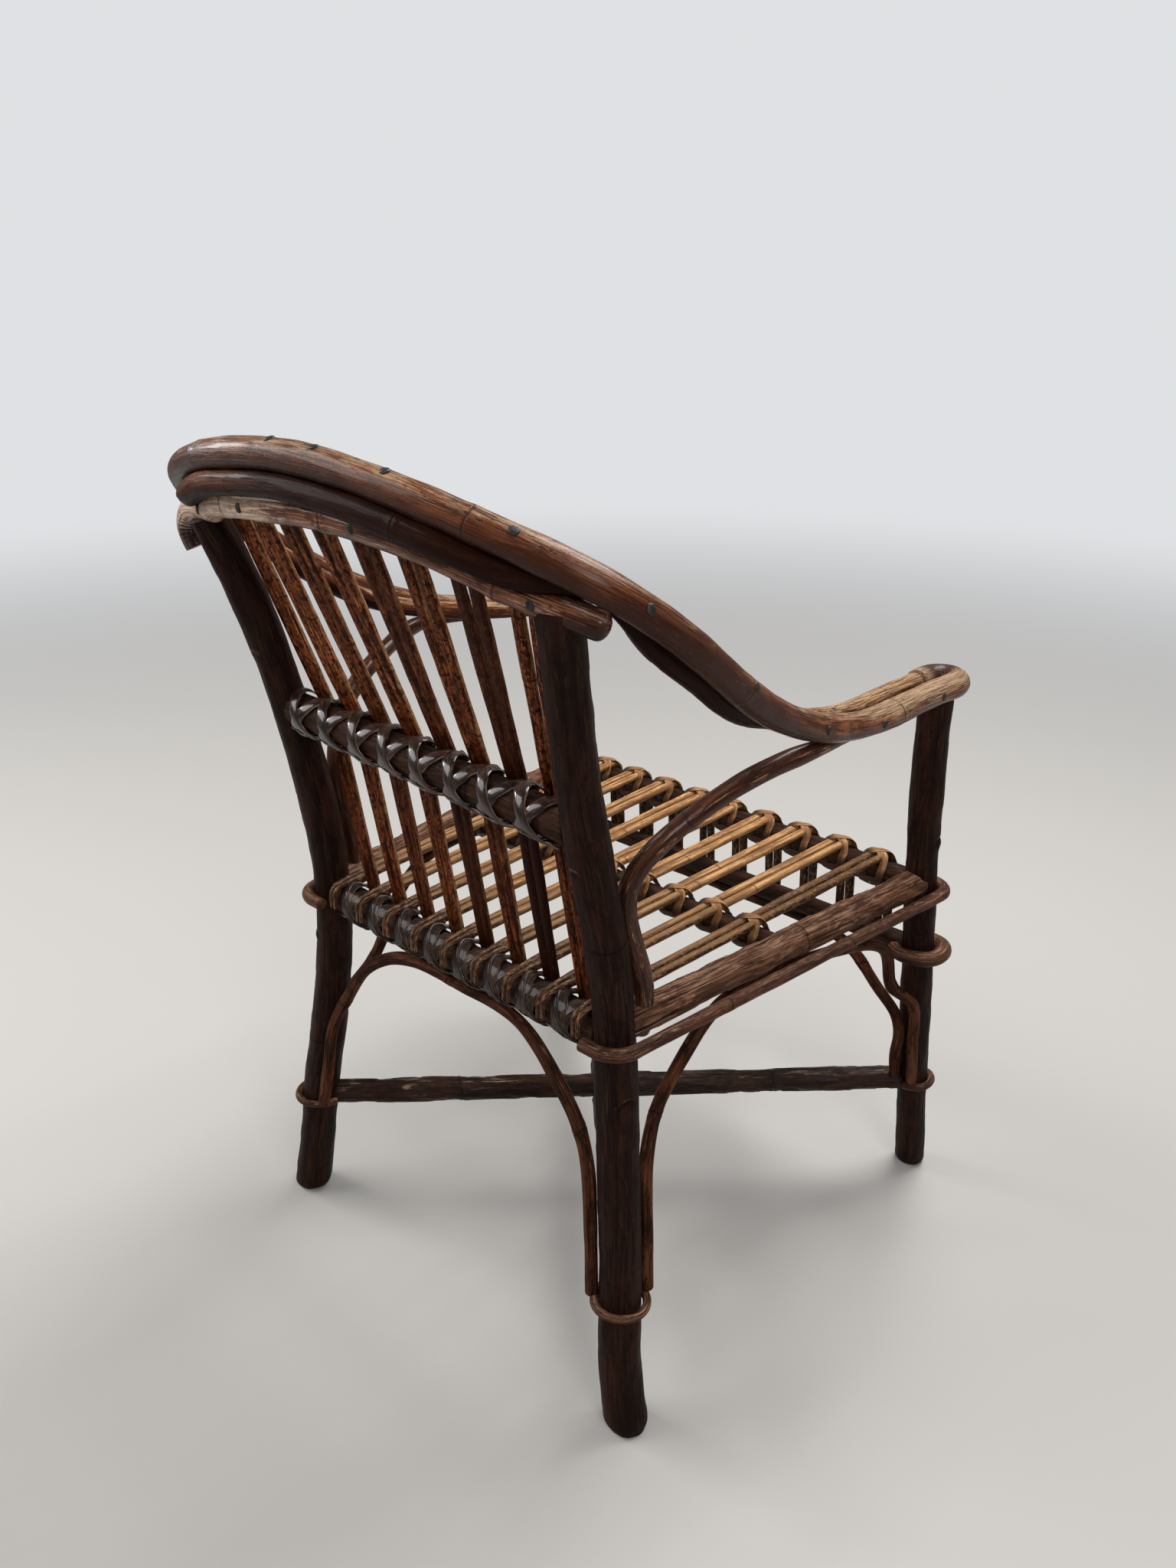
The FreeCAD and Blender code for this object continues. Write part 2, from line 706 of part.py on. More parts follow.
# The outermost seat slats clear the back posts
slat_notches = [seat_for(curve, slat_level, back_post_size(slat_level), 3 * slat_thickness)
                for curve in back_curves.values()]
for index, (back, front) in enumerate(zip(offsets(seat_pairs, seat_pitch_back),
                                          offsets(seat_pairs, seat_pitch_front))):
    pair = []
    for hand in (-1, 1):
        corners = [
            point(back + hand * (seat_slat_back / 2 + fit), behind_seat, seat_height - 1),
            point(back + hand * (seat_slat_back / 2 + fit), behind_seat, slat_level),
            point(front + hand * (seat_slat_front / 2 + fit), over_front, slat_level),
            point(front + hand * (seat_slat_front / 2 + fit), before_apron,
                  apron_height - apron_size / 2),
        ]
        made = slat(corners, (front_rail_size + slat_thickness) / 2 + fit,
                    seat_slat_back, seat_slat_front)
        if index in (0, seat_pairs - 1):
            made = fitted(made, slat_notches)
        pair.append(made)
    seat_positions.append((back, front))
    parts["seat_slat_pair_%d" % (index + 1)] = Part.makeCompound(pair)


# Lashings: peel wound crosswise round a rail and a pair of slats, two turns each.
# The second turn lies outside the first and crosses it.
def lashing_corners(centre, along, toward, rail_size, half_width, peel):
    beside_rail = along.cross(toward)
    spread = half_width + peel / 2 + 0.3

    def place(u, m, n):
        return centre + along * u + beside_rail * m + toward * n

    def turn(tilt, level, shift):
        radius = rail_size / 2 + peel / 2 + fit + level
        outer = radius / math.cos(math.radians(22.5))
        front = rail_size / 2 + slat_thickness + peel / 2 + 2 * fit + cope + level
        corners = []
        for degrees in (-67.5, -22.5, 22.5, 67.5):
            angle = math.radians(degrees)
            u = tilt * spread * degrees / 67.5
            corners.append(place(u, outer * math.sin(angle), -outer * math.cos(angle)))
        corners[0] = corners[0] - along * shift
        corners += [
            place(tilt * spread, radius, front - 4),
            place(tilt * spread, radius - 4, front),
            place(-tilt * spread + shift, -radius + 4, front),
            place(-tilt * spread + shift, -radius, front - 4),
            place(-tilt * spread + shift, -radius, 0.5),
        ]
        return corners

    level = peel + cross_gap
    shift = peel * 0.5 + 0.4
    first_turn = turn(1, 0, shift)
    second_turn = turn(-1, level, -shift)
    second_turn[0] = second_turn[0] - along * 2 * shift
    for index in (-1, -2, -3):
        second_turn[index] = second_turn[index] + along * (4 * shift)
    low = -(rail_size / 2 + peel / 2 + fit + level)
    run = [place(-spread + shift + 2 * peel, low, -2.5), place(spread - 2 * peel, low, -3)]
    return first_turn + run + second_turn


def self_gap(path, peel):
    points = path.discretize(Distance=0.8)
    least = 1e9
    skip = int(4 * peel / 0.8)
    for index in range(0, len(points)):
        for other in range(index + skip, len(points)):
            least = min(least, (points[index] - points[other]).Length)
    return least - peel


def lashing(label, places, along, toward, rail_size, half_width, peel):
    group = []
    for centre in places:
        corners = lashing_corners(centre, along, toward, rail_size, half_width, peel)
        path = bent_wire(corners, peel_bend)
        group.append(sweep(path, round_section(path, peel)))
    print(label, "turns 2 each, least self-gap %.2f mm" % self_gap(path, peel))
    return Part.makeCompound(group)


across = point(1, 0, 0)
forward = point(0, -1, 0)
upward = point(0, 0, 1)
forward_of_lumbar = (forward - lumbar_along * forward.dot(lumbar_along)).normalize()
lumbar_half = 3.5 + fit + 3.5
parts["lumbar_lashing"] = lashing(
    "lumbar_lashing", [lumbar_at(lumbar) for lumbar, foot in back_positions],
    lumbar_along * -1, forward_of_lumbar, lumbar_size, lumbar_half, lumbar_peel)
parts["seat_back_lashing"] = lashing(
    "seat_back_lashing", [point(foot, back_rail_y, seat_height) for lumbar, foot in back_positions],
    across * -1, forward, seat_rail_size, back_slat_foot + fit + 0.2, seat_back_peel)


def seat_line(share):
    return [back + (front - back) * share for back, front in seat_positions]


middle_y = middle_ends[0].y
middle_share = (back_rail_y - middle_y) / (back_rail_y - front_rail_y)
parts["seat_middle_lashing"] = lashing(
    "seat_middle_lashing", [point(x, middle_y, middle_axis) for x in seat_line(middle_share)],
    across, upward, middle_rail_size, seat_slat_front + 2 * cope, seat_peel)
parts["seat_front_lashing"] = lashing(
    "seat_front_lashing", [point(x, front_rail_y, front_axis) for x in seat_line(1)],
    across, upward, front_rail_size, seat_slat_front + 3 * cope, seat_peel)


# Nails with round heads
def nail(surface, inward, length):
    head = Part.makeCylinder(nail_head / 2, 1.2 + nail_proud, surface - inward * nail_proud,
                             inward)
    return head.fuse(Part.makeCylinder(nail_shank / 2, length, surface, inward)).removeSplitter()


def hoop_nail(x, y, side, lean=0):
    low, high = hoop_curve.FirstParameter, hoop_curve.LastParameter
    best = min((low + (high - low) * index / 800 for index in range(801)),
               key=lambda t: math.hypot(hoop_curve.value(t).x - side * x,
                                        hoop_curve.value(t).y - y))
    centre = hoop_curve.value(best)
    inward = ((nested(best) - centre).normalize() + forward * lean).normalize()
    return nail(centre - inward * outer_hoop_size / 2, inward,
                outer_hoop_size + inner_hoop_size * 0.6)


hoop_nails = []
for side in sides.values():
    for row, shift in [(7, 36), (8, 24), (9, 22.7), (10, 2.7), (12, 16)]:
        spot = hoop_at_side(side, row)
        hoop_nails.append(hoop_nail(abs(spot.x), spot.y - shift, side))
for x in (-0.79, -0.36, -0.083, 0.122):
    hoop_nails.append(hoop_nail(abs(x) * arm_x, hoop_back, math.copysign(1, x), 0.36))
hoop_nails = Part.makeCompound(hoop_nails)

crest_nails = []
for x in (-crest_x * 0.96, -0.25 * crest_x, 0.47 * crest_x, 0.96 * crest_x):
    spot = crest_at(x)[0]
    rear = point(x, spot.y + crest_size / 2, spot.z)
    crest_nails.append(nail(rear, forward, crest_size + 4))
crest_nails = Part.makeCompound(crest_nails)

# Each nail has its own hole
nails = hoop_nails.Solids
outer_hoop = fitted(outer_hoop, nails)
inner_hoop = fitted(inner_hoop, nails)
crest_rail = fitted(crest_rail, crest_nails.Solids)


# The crest rail lies in a round seat in each back post's top. Each front post's
# top ends under the arm's two canes, with a tongue that stands between them.
def back_post(name, side):
    centre, along = crest_at(side * crest_x)
    groove = bar(centre - along * 40, centre + along * 40, crest_size + 2 * (fit + cope))
    cuts = [floor, groove] + crest_nails.Solids
    return fitted(cane(back_curves[name], back_post_foot, back_post_head), cuts)


def front_post(name):
    shoulder = arm_height - outer_hoop_size / 2 - fit
    top = at_height(front_curves[name], shoulder)
    clear = Part.makeBox(80, 80, 80, point(top.x - 40, top.y - 40, shoulder))
    gap = 2 * arm_spread - outer_hoop_size - 2 * fit
    middle = point(sides[name] * (arm_x - arm_spread), top.y, shoulder - 5)
    tongue = Part.makeCylinder(gap / 2, 90, middle)
    clear = clear.cut(tongue)
    return fitted(cane(front_curves[name], front_post_size), [floor, clear] + nails)


for name, side in sides.items():
    parts["back_post_" + name] = back_post(name, side)
    parts["front_post_" + name] = front_post(name)
    parts["side_rail_" + name] = side_rails[name]
    parts["arm_brace_" + name] = braces[name]
parts["outer_hoop"] = outer_hoop
parts["inner_hoop"] = inner_hoop
parts["crest_rail"] = crest_rail
parts["lumbar_rail"] = lumbar_rail
parts["seat_back_rail"] = seat_back_rail
parts["seat_front_rail"] = seat_front_rail
parts["apron_rail"] = apron_rail
parts["seat_middle_rail"] = seat_middle_rail
parts["hoop_nails"] = hoop_nails
parts["crest_nails"] = crest_nails
parts.update(arches)

os.makedirs("parts", exist_ok=True)
low = [1e9] * 3
high = [-1e9] * 3
for name, shape in sorted(parts.items()):
    placed = shape.copy()
    placed.translate(Vector(0, -feet_forward, 0))
    box = placed.BoundBox
    low = [min(a, b) for a, b in zip(low, (box.XMin, box.YMin, box.ZMin))]
    high = [max(a, b) for a, b in zip(high, (box.XMax, box.YMax, box.ZMax))]
    print(name, len(placed.Solids), placed.isValid(), round(placed.Volume))
    placed.exportStep("parts/" + name + ".step")
print("bounds", [round(v, 1) for v in low], [round(v, 1) for v in high])
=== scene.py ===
import math

import bpy
import numpy as np
from mathutils import Matrix, Vector


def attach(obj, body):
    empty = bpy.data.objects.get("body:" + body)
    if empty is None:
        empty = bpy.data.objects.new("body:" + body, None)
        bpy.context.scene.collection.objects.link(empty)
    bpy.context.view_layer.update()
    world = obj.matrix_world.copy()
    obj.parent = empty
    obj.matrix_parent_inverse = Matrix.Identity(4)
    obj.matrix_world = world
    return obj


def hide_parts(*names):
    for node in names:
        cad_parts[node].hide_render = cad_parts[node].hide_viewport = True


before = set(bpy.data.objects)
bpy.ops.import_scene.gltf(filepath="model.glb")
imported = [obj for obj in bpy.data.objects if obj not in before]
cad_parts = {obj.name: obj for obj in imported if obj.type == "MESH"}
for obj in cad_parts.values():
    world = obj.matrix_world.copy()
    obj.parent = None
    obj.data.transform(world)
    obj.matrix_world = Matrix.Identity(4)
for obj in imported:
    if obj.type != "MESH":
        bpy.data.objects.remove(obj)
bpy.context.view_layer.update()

# Child's rattan armchair. Lengths are in millimetres until a mesh is made,
# front is -Y, the sitter's right is -X.
mm = 0.001
fullTurn = 2 * np.pi
anyTurn = 6.28  # random starts fall within this
upward = (0, 0, 1)


# lines and small irregularities
def unit(v):
    v = np.asarray(v, float)
    return v / np.maximum(np.linalg.norm(v, axis=-1, keepdims=True), 1e-9)


def ease(x, low, high):
    t = np.clip((np.asarray(x, float) - low) / (high - low), 0, 1)
    return t * t * (3 - 2 * t)


def bell(away, width):
    return np.exp(-(away / width) ** 2)


def distances(line):
    return np.concatenate([[0], np.cumsum(np.linalg.norm(np.diff(line, axis=0), axis=1))])


def evenly(line, step=1.0):
    line = np.asarray(line, float)
    far = distances(line)
    count = max(2, int(round(far[-1] / step)) + 1)
    at = np.linspace(0, far[-1], count)
    return np.stack([np.interp(at, far, line[:, k]) for k in range(3)], 1)


def smoothLine(points, step=1.0):
    # natural cubic spline through the points, resampled at even steps
    p = np.asarray(points, float)
    if len(p) == 2:
        return evenly(p, step)
    t = distances(p)
    h, n = np.diff(t), len(p)
    a, b = np.eye(n), np.zeros((n, 3))
    for i in range(1, n - 1):
        a[i, i - 1:i + 2] = h[i - 1], 2 * (h[i - 1] + h[i]), h[i]
        b[i] = 6 * ((p[i + 1] - p[i]) / h[i] - (p[i] - p[i - 1]) / h[i - 1])
    m = np.linalg.solve(a, b)
    s = np.linspace(0, t[-1], int(t[-1] * 2) + 2)
    i = np.clip(np.searchsorted(t, s, side="right") - 1, 0, n - 2)
    lo, hi, d = (s - t[i])[:, None], (t[i + 1] - s)[:, None], h[i][:, None]
    line = (m[i] * hi ** 3 + m[i + 1] * lo ** 3) / (6 * d)
    line += (p[i] / d - m[i] * d / 6) * hi + (p[i + 1] / d - m[i + 1] * d / 6) * lo
    return evenly(line, step)


def bentLine(corners, radius):
    # straight runs with rounded corners
    c = [np.asarray(v, float) for v in corners]
    line = [c[0]]
    for before, corner, after in zip(c, c[1:], c[2:]):
        come, go = unit(corner - before), unit(after - corner)
        turn = math.acos(np.clip(come @ go, -1, 1))
        room = 0.48 * min(np.linalg.norm(corner - before), np.linalg.norm(after - corner))
        reach = min(radius * math.tan(turn / 2), room)
        first, last = corner - come * reach, corner + go * reach
        for t in np.linspace(0, 1, 9):
            line.append(first * (1 - t) ** 2 + 2 * corner * t * (1 - t) + last * t * t)
    line.append(c[-1])
    return evenly(line)


def mirrored(points):
    return [(-x, y, z) for x, y, z in points]


def wander(seed, along, waves):
    rng = np.random.default_rng(seed)
    total = np.zeros(np.shape(along))
    for length, amount in waves:
        total = total + amount * np.sin(fullTurn * (along / length + rng.random()))
    return total


def ridges(seed, along, turn, depth):
    rng = np.random.default_rng(seed + 500)
    total = 0
    for count in (3, 5, 8, 13, 19):
        drift = rng.random() * anyTurn + wander(seed + count, along, [(110, 0.9), (41, 0.5)])
        total = total + np.cos(count * turn + drift) / count ** 0.4
    return total * depth * 0.4


def plates(seed, along, turn):
    # bark that has come off in long patches
    rng = np.random.default_rng(seed + 700)
    field = 0
    for count in (1, 2, 3, 4, 6):
        pitch = rng.choice([-1, 1]) * rng.uniform(38, 120)
        drift = rng.random() * anyTurn + wander(seed + 7 * count, along, [(47, 0.7), (19, 0.35)])
        field = field + np.cos(count * turn + fullTurn * along / pitch + drift)
    return ease(field, 0.35, 0.6) - 0.6 * ease(-field, 1.1, 1.3)


# the mesh of one piece, gathered from one or more swept strands
skinFields = ("wearAndLight", "knot", "stainAndShade")


def newStrand():
    return {"verts": [], "faces": [], "space": [], "wearAndLight": [], "knot": [], "stainAndShade": [],
            "bands": [], "count": 0}


def addGrid(strand, grid, space, *fields):
    # grid is rings x sides x 3, closed round the sides and capped at both ends
    rings, sides = grid.shape[:2]
    base = strand["count"]
    index = base + np.arange(rings * sides).reshape(rings, sides)
    after = np.roll(index, -1, axis=1)
    quads = np.stack([index[:-1], after[:-1], after[1:], index[1:]], -1).reshape(-1, 4)
    strand["faces"] += quads.tolist()
    strand["verts"].append(grid.reshape(-1, 3))
    strand["space"].append(space.reshape(-1, 3))
    ends = (0, rings - 1)
    for cap, ring in enumerate(ends):
        centre = base + rings * sides + cap
        strand["verts"].append(grid[ring].mean(0)[None])
        strand["space"].append(space[ring].mean(0)[None])
        for one, two in zip(index[ring], after[ring]):
            strand["faces"].append((centre, one, two) if cap else (centre, two, one))
    for key, field in zip(skinFields, fields):
        flat = np.broadcast_to(field, (rings, sides))
        strand[key].append(np.concatenate([flat.reshape(-1)] + [flat[r].mean()[None] for r in ends]))
    steps = np.linalg.norm(np.diff(grid.mean(1), axis=0), axis=1)
    far = np.concatenate([[0], np.cumsum(np.maximum(steps, 0.15))])
    middle = grid[rings // 2]
    girth = distances(np.vstack([middle, middle[:1]]))[-1]
    strand["bands"].append((rings, sides, far, girth))
    strand["count"] += rings * sides + len(ends)


def mapFaces(strand):
    # every strand's skin is cut into columns that fill one square
    bands, spare = strand["bands"], 1.04  # a little room between columns
    tall = math.sqrt(sum(far[-1] * girth for _, _, far, girth in bands)) * 1.02
    pieces = [max(1, math.ceil(far[-1] / tall)) for _, _, far, _ in bands]
    wide = sum(k * band[3] for k, band in zip(pieces, bands)) * spare
    uv, left = [], 0.0
    for (rings, sides, far, girth), count in zip(bands, pieces):
        part = far[-1] / count
        edges = [girth * j / sides for j in range(sides + 1)]
        for i in range(rings - 1):
            k = min(count - 1, int((far[i] + far[i + 1]) / 2 / part))
            low, high = np.clip((far[i] - k * part, far[i + 1] - k * part), 0, part)
            column = left + k * girth * spare
            for a, b in zip(edges, edges[1:]):
                uv += [(column + a, low), (column + b, low), (column + b, high), (column + a, high)]
        for k, at, turned in ((0, 0.0, True), (count - 1, part, False)):
            column = left + k * girth * spare
            for a, b in zip(edges, edges[1:]):
                rim = [(column + a, at), (column + b, at)]
                uv += [(column + (a + b) / 2, at)] + (rim[::-1] if turned else rim)
        left += count * girth * spare
    return np.array(uv) / max(tall, wide)


def makePiece(name, strand, look, slotName, *nodes):
    mesh = bpy.data.meshes.new(name)
    mesh.from_pydata((np.vstack(strand["verts"]) * mm).tolist(), [], strand["faces"])
    field = mesh.attributes.new("caneSpace", "FLOAT_VECTOR", "POINT")
    field.data.foreach_set("vector", np.vstack(strand["space"]).astype(np.float32).ravel())
    for key in skinFields:
        field = mesh.attributes.new(key, "FLOAT", "POINT")
        field.data.foreach_set("value", np.concatenate(strand[key]).astype(np.float32))
    layer = mesh.uv_layers.new(name="OFBake")
    layer.data.foreach_set("uv", mapFaces(strand).astype(np.float32).ravel())
    mesh.polygons.foreach_set("use_smooth", [True] * len(mesh.polygons))
    mesh.materials.append(looks[look])
    mesh.update()
    piece = bpy.data.objects.new(name, mesh)
    bpy.context.scene.collection.objects.link(piece)
    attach(piece, "root")
    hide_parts(*nodes)


def carried(line, start):
    # directions across a line that turn with it as little as possible
    along = unit(np.gradient(line, axis=0))
    first = np.asarray(start, float)
    u = np.zeros_like(line)
    u[0] = unit(first - along[0] * (first @ along[0]))
    for i in range(1, len(line)):
        u[i] = unit(u[i - 1] - along[i] * (u[i - 1] @ along[i]))
    return along, u, np.cross(along, u)


# share of the section and step outward for each ring that closes an end
endRings = {"sawn": [(0.985, 0.25), (0.94, 0.5), (0.8, 0.6), (0.45, 0.5), (0.15, 0.35)],
            "round": [(0.96, 0.28), (0.86, 0.52), (0.68, 0.74), (0.44, 0.9), (0.18, 0.98)]}
sawnEnds, roundEnds = ("sawn", "sawn"), ("round", "round")
knotForm = {"ring": 3.4, "groove": 0.55, "line": 0.7, "deepest": 0.42}  # reach along the cane, groove's depth
foldForm = {"depth": 0.7, "pitch": 2.9}
# a scar's groove, line and paleAt are shares of its size
scarForm = {"swell": 0.9, "depth": 0.5, "groove": 0.22, "line": 0.2, "paleAt": 1.4}
footForm = {"height": 5, "narrower": 0.17}  # how much narrower is a share


def sized(value, share):
    return np.array([value(x) for x in share]) if callable(value) else np.full(len(share), float(value))


def addCane(strand, line, radius, seed, sides=26, step=2.4, knots=(), swell=0.5, ridge=0.1,
            waver=0.012, ends=sawnEnds, wearAndLight=None, stainAndShade=None, across=None, depth=None,
            onFloor=False, sway=0.0, bark=0.0, creases=(), scars=()):
    line = evenly(line)
    far = np.arange(len(line)) * np.linalg.norm(line[1] - line[0])
    total = far[-1]
    places = set(np.linspace(0, total, max(3, int(total / step) + 1)))
    closer = [(k, np.linspace(-5, 5, 23)) for k in knots]
    closer += [(k, np.linspace(-2, 2, 40) * size) for k, way, size in scars]
    closer += [(k, np.linspace(-2, 2, 90) * reach) for k, reach, inward in creases]
    for k, spread in closer:
        places |= set(np.clip(k * total + spread, 0, total))
    s = np.array(sorted(places))
    s = s[np.concatenate([[True], np.diff(s) > 0.12])]
    centre = np.stack([np.interp(s, far, line[:, k]) for k in range(3)], 1)
    if across is None:
        along, u, v = carried(centre, (0.31, 0.52, 0.79))
    else:
        along = unit(np.gradient(centre, axis=0))
        a = np.asarray(across, float)
        u = unit(a - along * (along @ a)[:, None])
        v = np.cross(along, u)
    if sway:
        centre = centre + u * wander(seed + 40, s, [(130, sway), (61, sway * 0.5)])[:, None]
    turn = np.arange(sides) * fullTurn / sides
    share, rise = s / total, s[:, None]
    r = sized(radius, share)
    d = r if depth is None else sized(depth, share)

    def toward(way):
        way = unit(way)
        return (u @ way)[:, None] * np.cos(turn) + (v @ way)[:, None] * np.sin(turn)

    rough = 1 + wander(seed, s, [(170, waver), (73, waver * 0.8), (29, waver * 0.5)])[:, None]
    peeled = plates(seed, rise, turn[None])
    bump = ridges(seed, rise, turn[None], ridge) + peeled * bark
    knot, creased, pale = np.zeros((3, len(s), sides))
    rng = np.random.default_rng(seed + 90)
    notch = min(knotForm["deepest"], 0.8 * swell)
    for k in knots:  # a raised ring with a dark line round it
        slant, swing = rng.uniform(0.3, 1.3), rng.uniform(0, anyTurn)
        away = rise - k * total - slant * np.sin(turn + swing)[None]
        away = away - 0.35 * np.sin(3 * turn + 2 * swing)[None]
        bump = bump + swell * bell(away, knotForm["ring"]) - notch * bell(away, knotForm["groove"])
        knot = np.maximum(knot, bell(away, knotForm["line"]))
    for k, reach, inward in creases:  # folds on the inside of a tight bend, their grooves also darkened as painted shade
        near = bell(s - k * total, reach)[:, None] * ease(toward(inward), -0.1, 0.7)
        fold = 0.5 + 0.5 * np.cos(fullTurn * (rise + 0.8 * np.sin(2 * turn)) / foldForm["pitch"])
        creased = np.maximum(creased, near * fold ** 3)
    bump = bump - foldForm["depth"] * creased
    for k, way, size in scars:  # where a twig was cut off
        above = rise - k * total
        away = np.hypot(above, r[:, None] * np.arccos(np.clip(toward(way), -1, 1))) / size
        upper = ease(above / size, -0.3, 0.5)
        bump = bump + scarForm["swell"] * np.exp(-1.5 * away ** 2)
        bump = bump - scarForm["depth"] * upper * bell(away - 1, scarForm["groove"])
        knot = np.maximum(knot, upper * bell(away - 1, scarForm["line"]))
        pale = np.maximum(pale, upper * bell(away - scarForm["paleAt"], scarForm["groove"]))
    cu, sv = np.cos(turn)[None, :, None], np.sin(turn)[None, :, None]
    a, b = [(size[:, None] * rough + bump)[..., None] for size in (r, d)]
    grid = centre[:, None] + u[:, None] * cu * a + v[:, None] * sv * b
    normal = u[:, None] * cu + v[:, None] * sv
    space = np.stack([np.broadcast_to(field, knot.shape) for field in
                      (np.cos(turn) * r.mean(), np.sin(turn) * d.mean(), rise + seed * 37.0)], -1)
    # worn carries rubbed wear and painted light, dark carries stains and painted shade
    worn, dark = [field(grid, normal, share[:, None], turn[None]) if field else np.zeros_like(knot)
                  for field in (wearAndLight, stainAndShade)]
    worn = np.broadcast_to(worn, knot.shape) + (0.25 * np.clip(-peeled, 0, 1) if bark else 0) + pale
    # the folds go into the dark field as painted shade in their grooves
    dark = np.clip(np.broadcast_to(dark, knot.shape) + creased, 0, 1)
    for end, ring, sign in ((ends[0], 0, -1), (ends[1], -1, 1)):
        size = min(r[ring], d[ring])
        rows = [(f, o if end == "sawn" else o * size * 0.75) for f, o in endRings[end]]
        extra = [centre[ring] + (grid[ring] - centre[ring]) * f + along[ring] * sign * o for f, o in rows]
        deep = [np.concatenate([space[ring][:, :2] * f, space[ring][:, 2:] + sign * o], 1) for f, o in rows]
        pads = [extra, deep] + [np.repeat(x[ring][None], len(rows), 0) for x in (worn, knot, dark)]
        grid, space, worn, knot, dark = [
            np.concatenate([x, pad] if sign > 0 else [pad[::-1], x])
            for pad, x in zip(pads, (grid, space, worn, knot, dark))]
    if onFloor:  # feet wear round at the rim and stand flat
        low = grid[..., 2] < 0
        near = np.clip((footForm["height"] - grid[..., 2]) / footForm["height"], 0, 1.0)
        grid[..., :2] -= (grid[..., :2] - line[0][:2]) * (footForm["narrower"] * near ** 2)[..., None]
        grid[..., 2] = np.where(low, 0, grid[..., 2])
    addGrid(strand, grid, space, worn, knot, dark)


stripForm = {"side": np.array([-1, -0.93, -0.72, -0.4, 0, 0.4, 0.72, 0.93, 1, 0.9, 0.5, 0, -0.5, -0.9]),
             "top": np.array([0.45, 0.8, 0.97, 1, 1, 1, 0.97, 0.8, 0.45, 0.08, 0, 0, 0, 0.08]),
             "taper": 6.0}


def addStrip(strand, line, outward, seed, width, thick, crown, stainAndShade=0.0, topWearAndLight=0.0):
    # flat glossy peel that lies along a line, its face turned to outward
    x, top, taper = stripForm["side"], stripForm["top"], stripForm["taper"]
    far = distances(line)
    along = unit(np.gradient(line, axis=0))
    n = unit(outward - along * (outward * along).sum(1)[:, None])
    b = np.cross(along, n)
    lift = np.sqrt(np.maximum(0, 1 - x ** 2 * 0.85)) * crown
    rng = np.random.default_rng(seed)
    narrow = np.minimum(1, 0.45 + 0.55 * np.minimum(far, far[-1] - far) / taper)
    half = width / 2 * narrow * (1 + wander(seed, far, [(23, 0.06), (11, 0.04)]))
    edge = 1 + 0.05 * np.sin(far[:, None] * 0.7 + rng.random() * 6 + 2 * x[None])
    grid = line[:, None] + b[:, None] * (half[:, None] * x * edge)[..., None] \
        + n[:, None] * (top * thick + lift)[None, :, None]
    shape = (len(far), len(x))
    space = np.stack([half[:, None] * x, np.broadcast_to(top * thick, shape),
                      np.broadcast_to(far[:, None] + seed * 53.0, shape)], -1)
    # the edges and upward faces are paled: partly rubbed wear, partly painted highlight along the curled
    # edges and painted light on the top
    rim = np.abs(x)[None] ** 5 + topWearAndLight * ease(n[:, 2], 0.2, 0.9)[:, None]
    addGrid(strand, grid, space, rim, 0.0, stainAndShade)


# finishes: cane skin with fibres, specks, cracks, knots, stains and rubbed places, with painted light and
# shade carried by the skin fields
plainCane = {  # what a finish has unless its own values say otherwise
    "fibre": 1.5, "fibreStretch": 0.035, "fibreDepth": 0.5, "patch": 0.06, "tintAmount": 0.5,
    "speckSize": 0.8, "speckStretch": 0.4, "speckFrom": 0.54, "speckAmount": 0.5, "speckHold": 0.5,
    "mottle": 0.6, "mottleSize": 0.13, "crack": 1.1, "crackAmount": 0.5,
    "flakeSize": 0.2, "flakeGain": 2.2, "wearFrom": 0.45, "wearSoft": 0.45, "wearAmount": 0.8,
    "stainAndShadeColour": (0.02, 0.012, 0.01), "fleck": 0.0, "fleckFrom": 0.56,
    "bumpDepth": 0.0006, "coat": 0.0, "coatRough": 0.2}


def newNode(tree, kind, **values):
    made = tree.nodes.new(kind)
    for key, value in values.items():
        setattr(made, key, value)
    return made


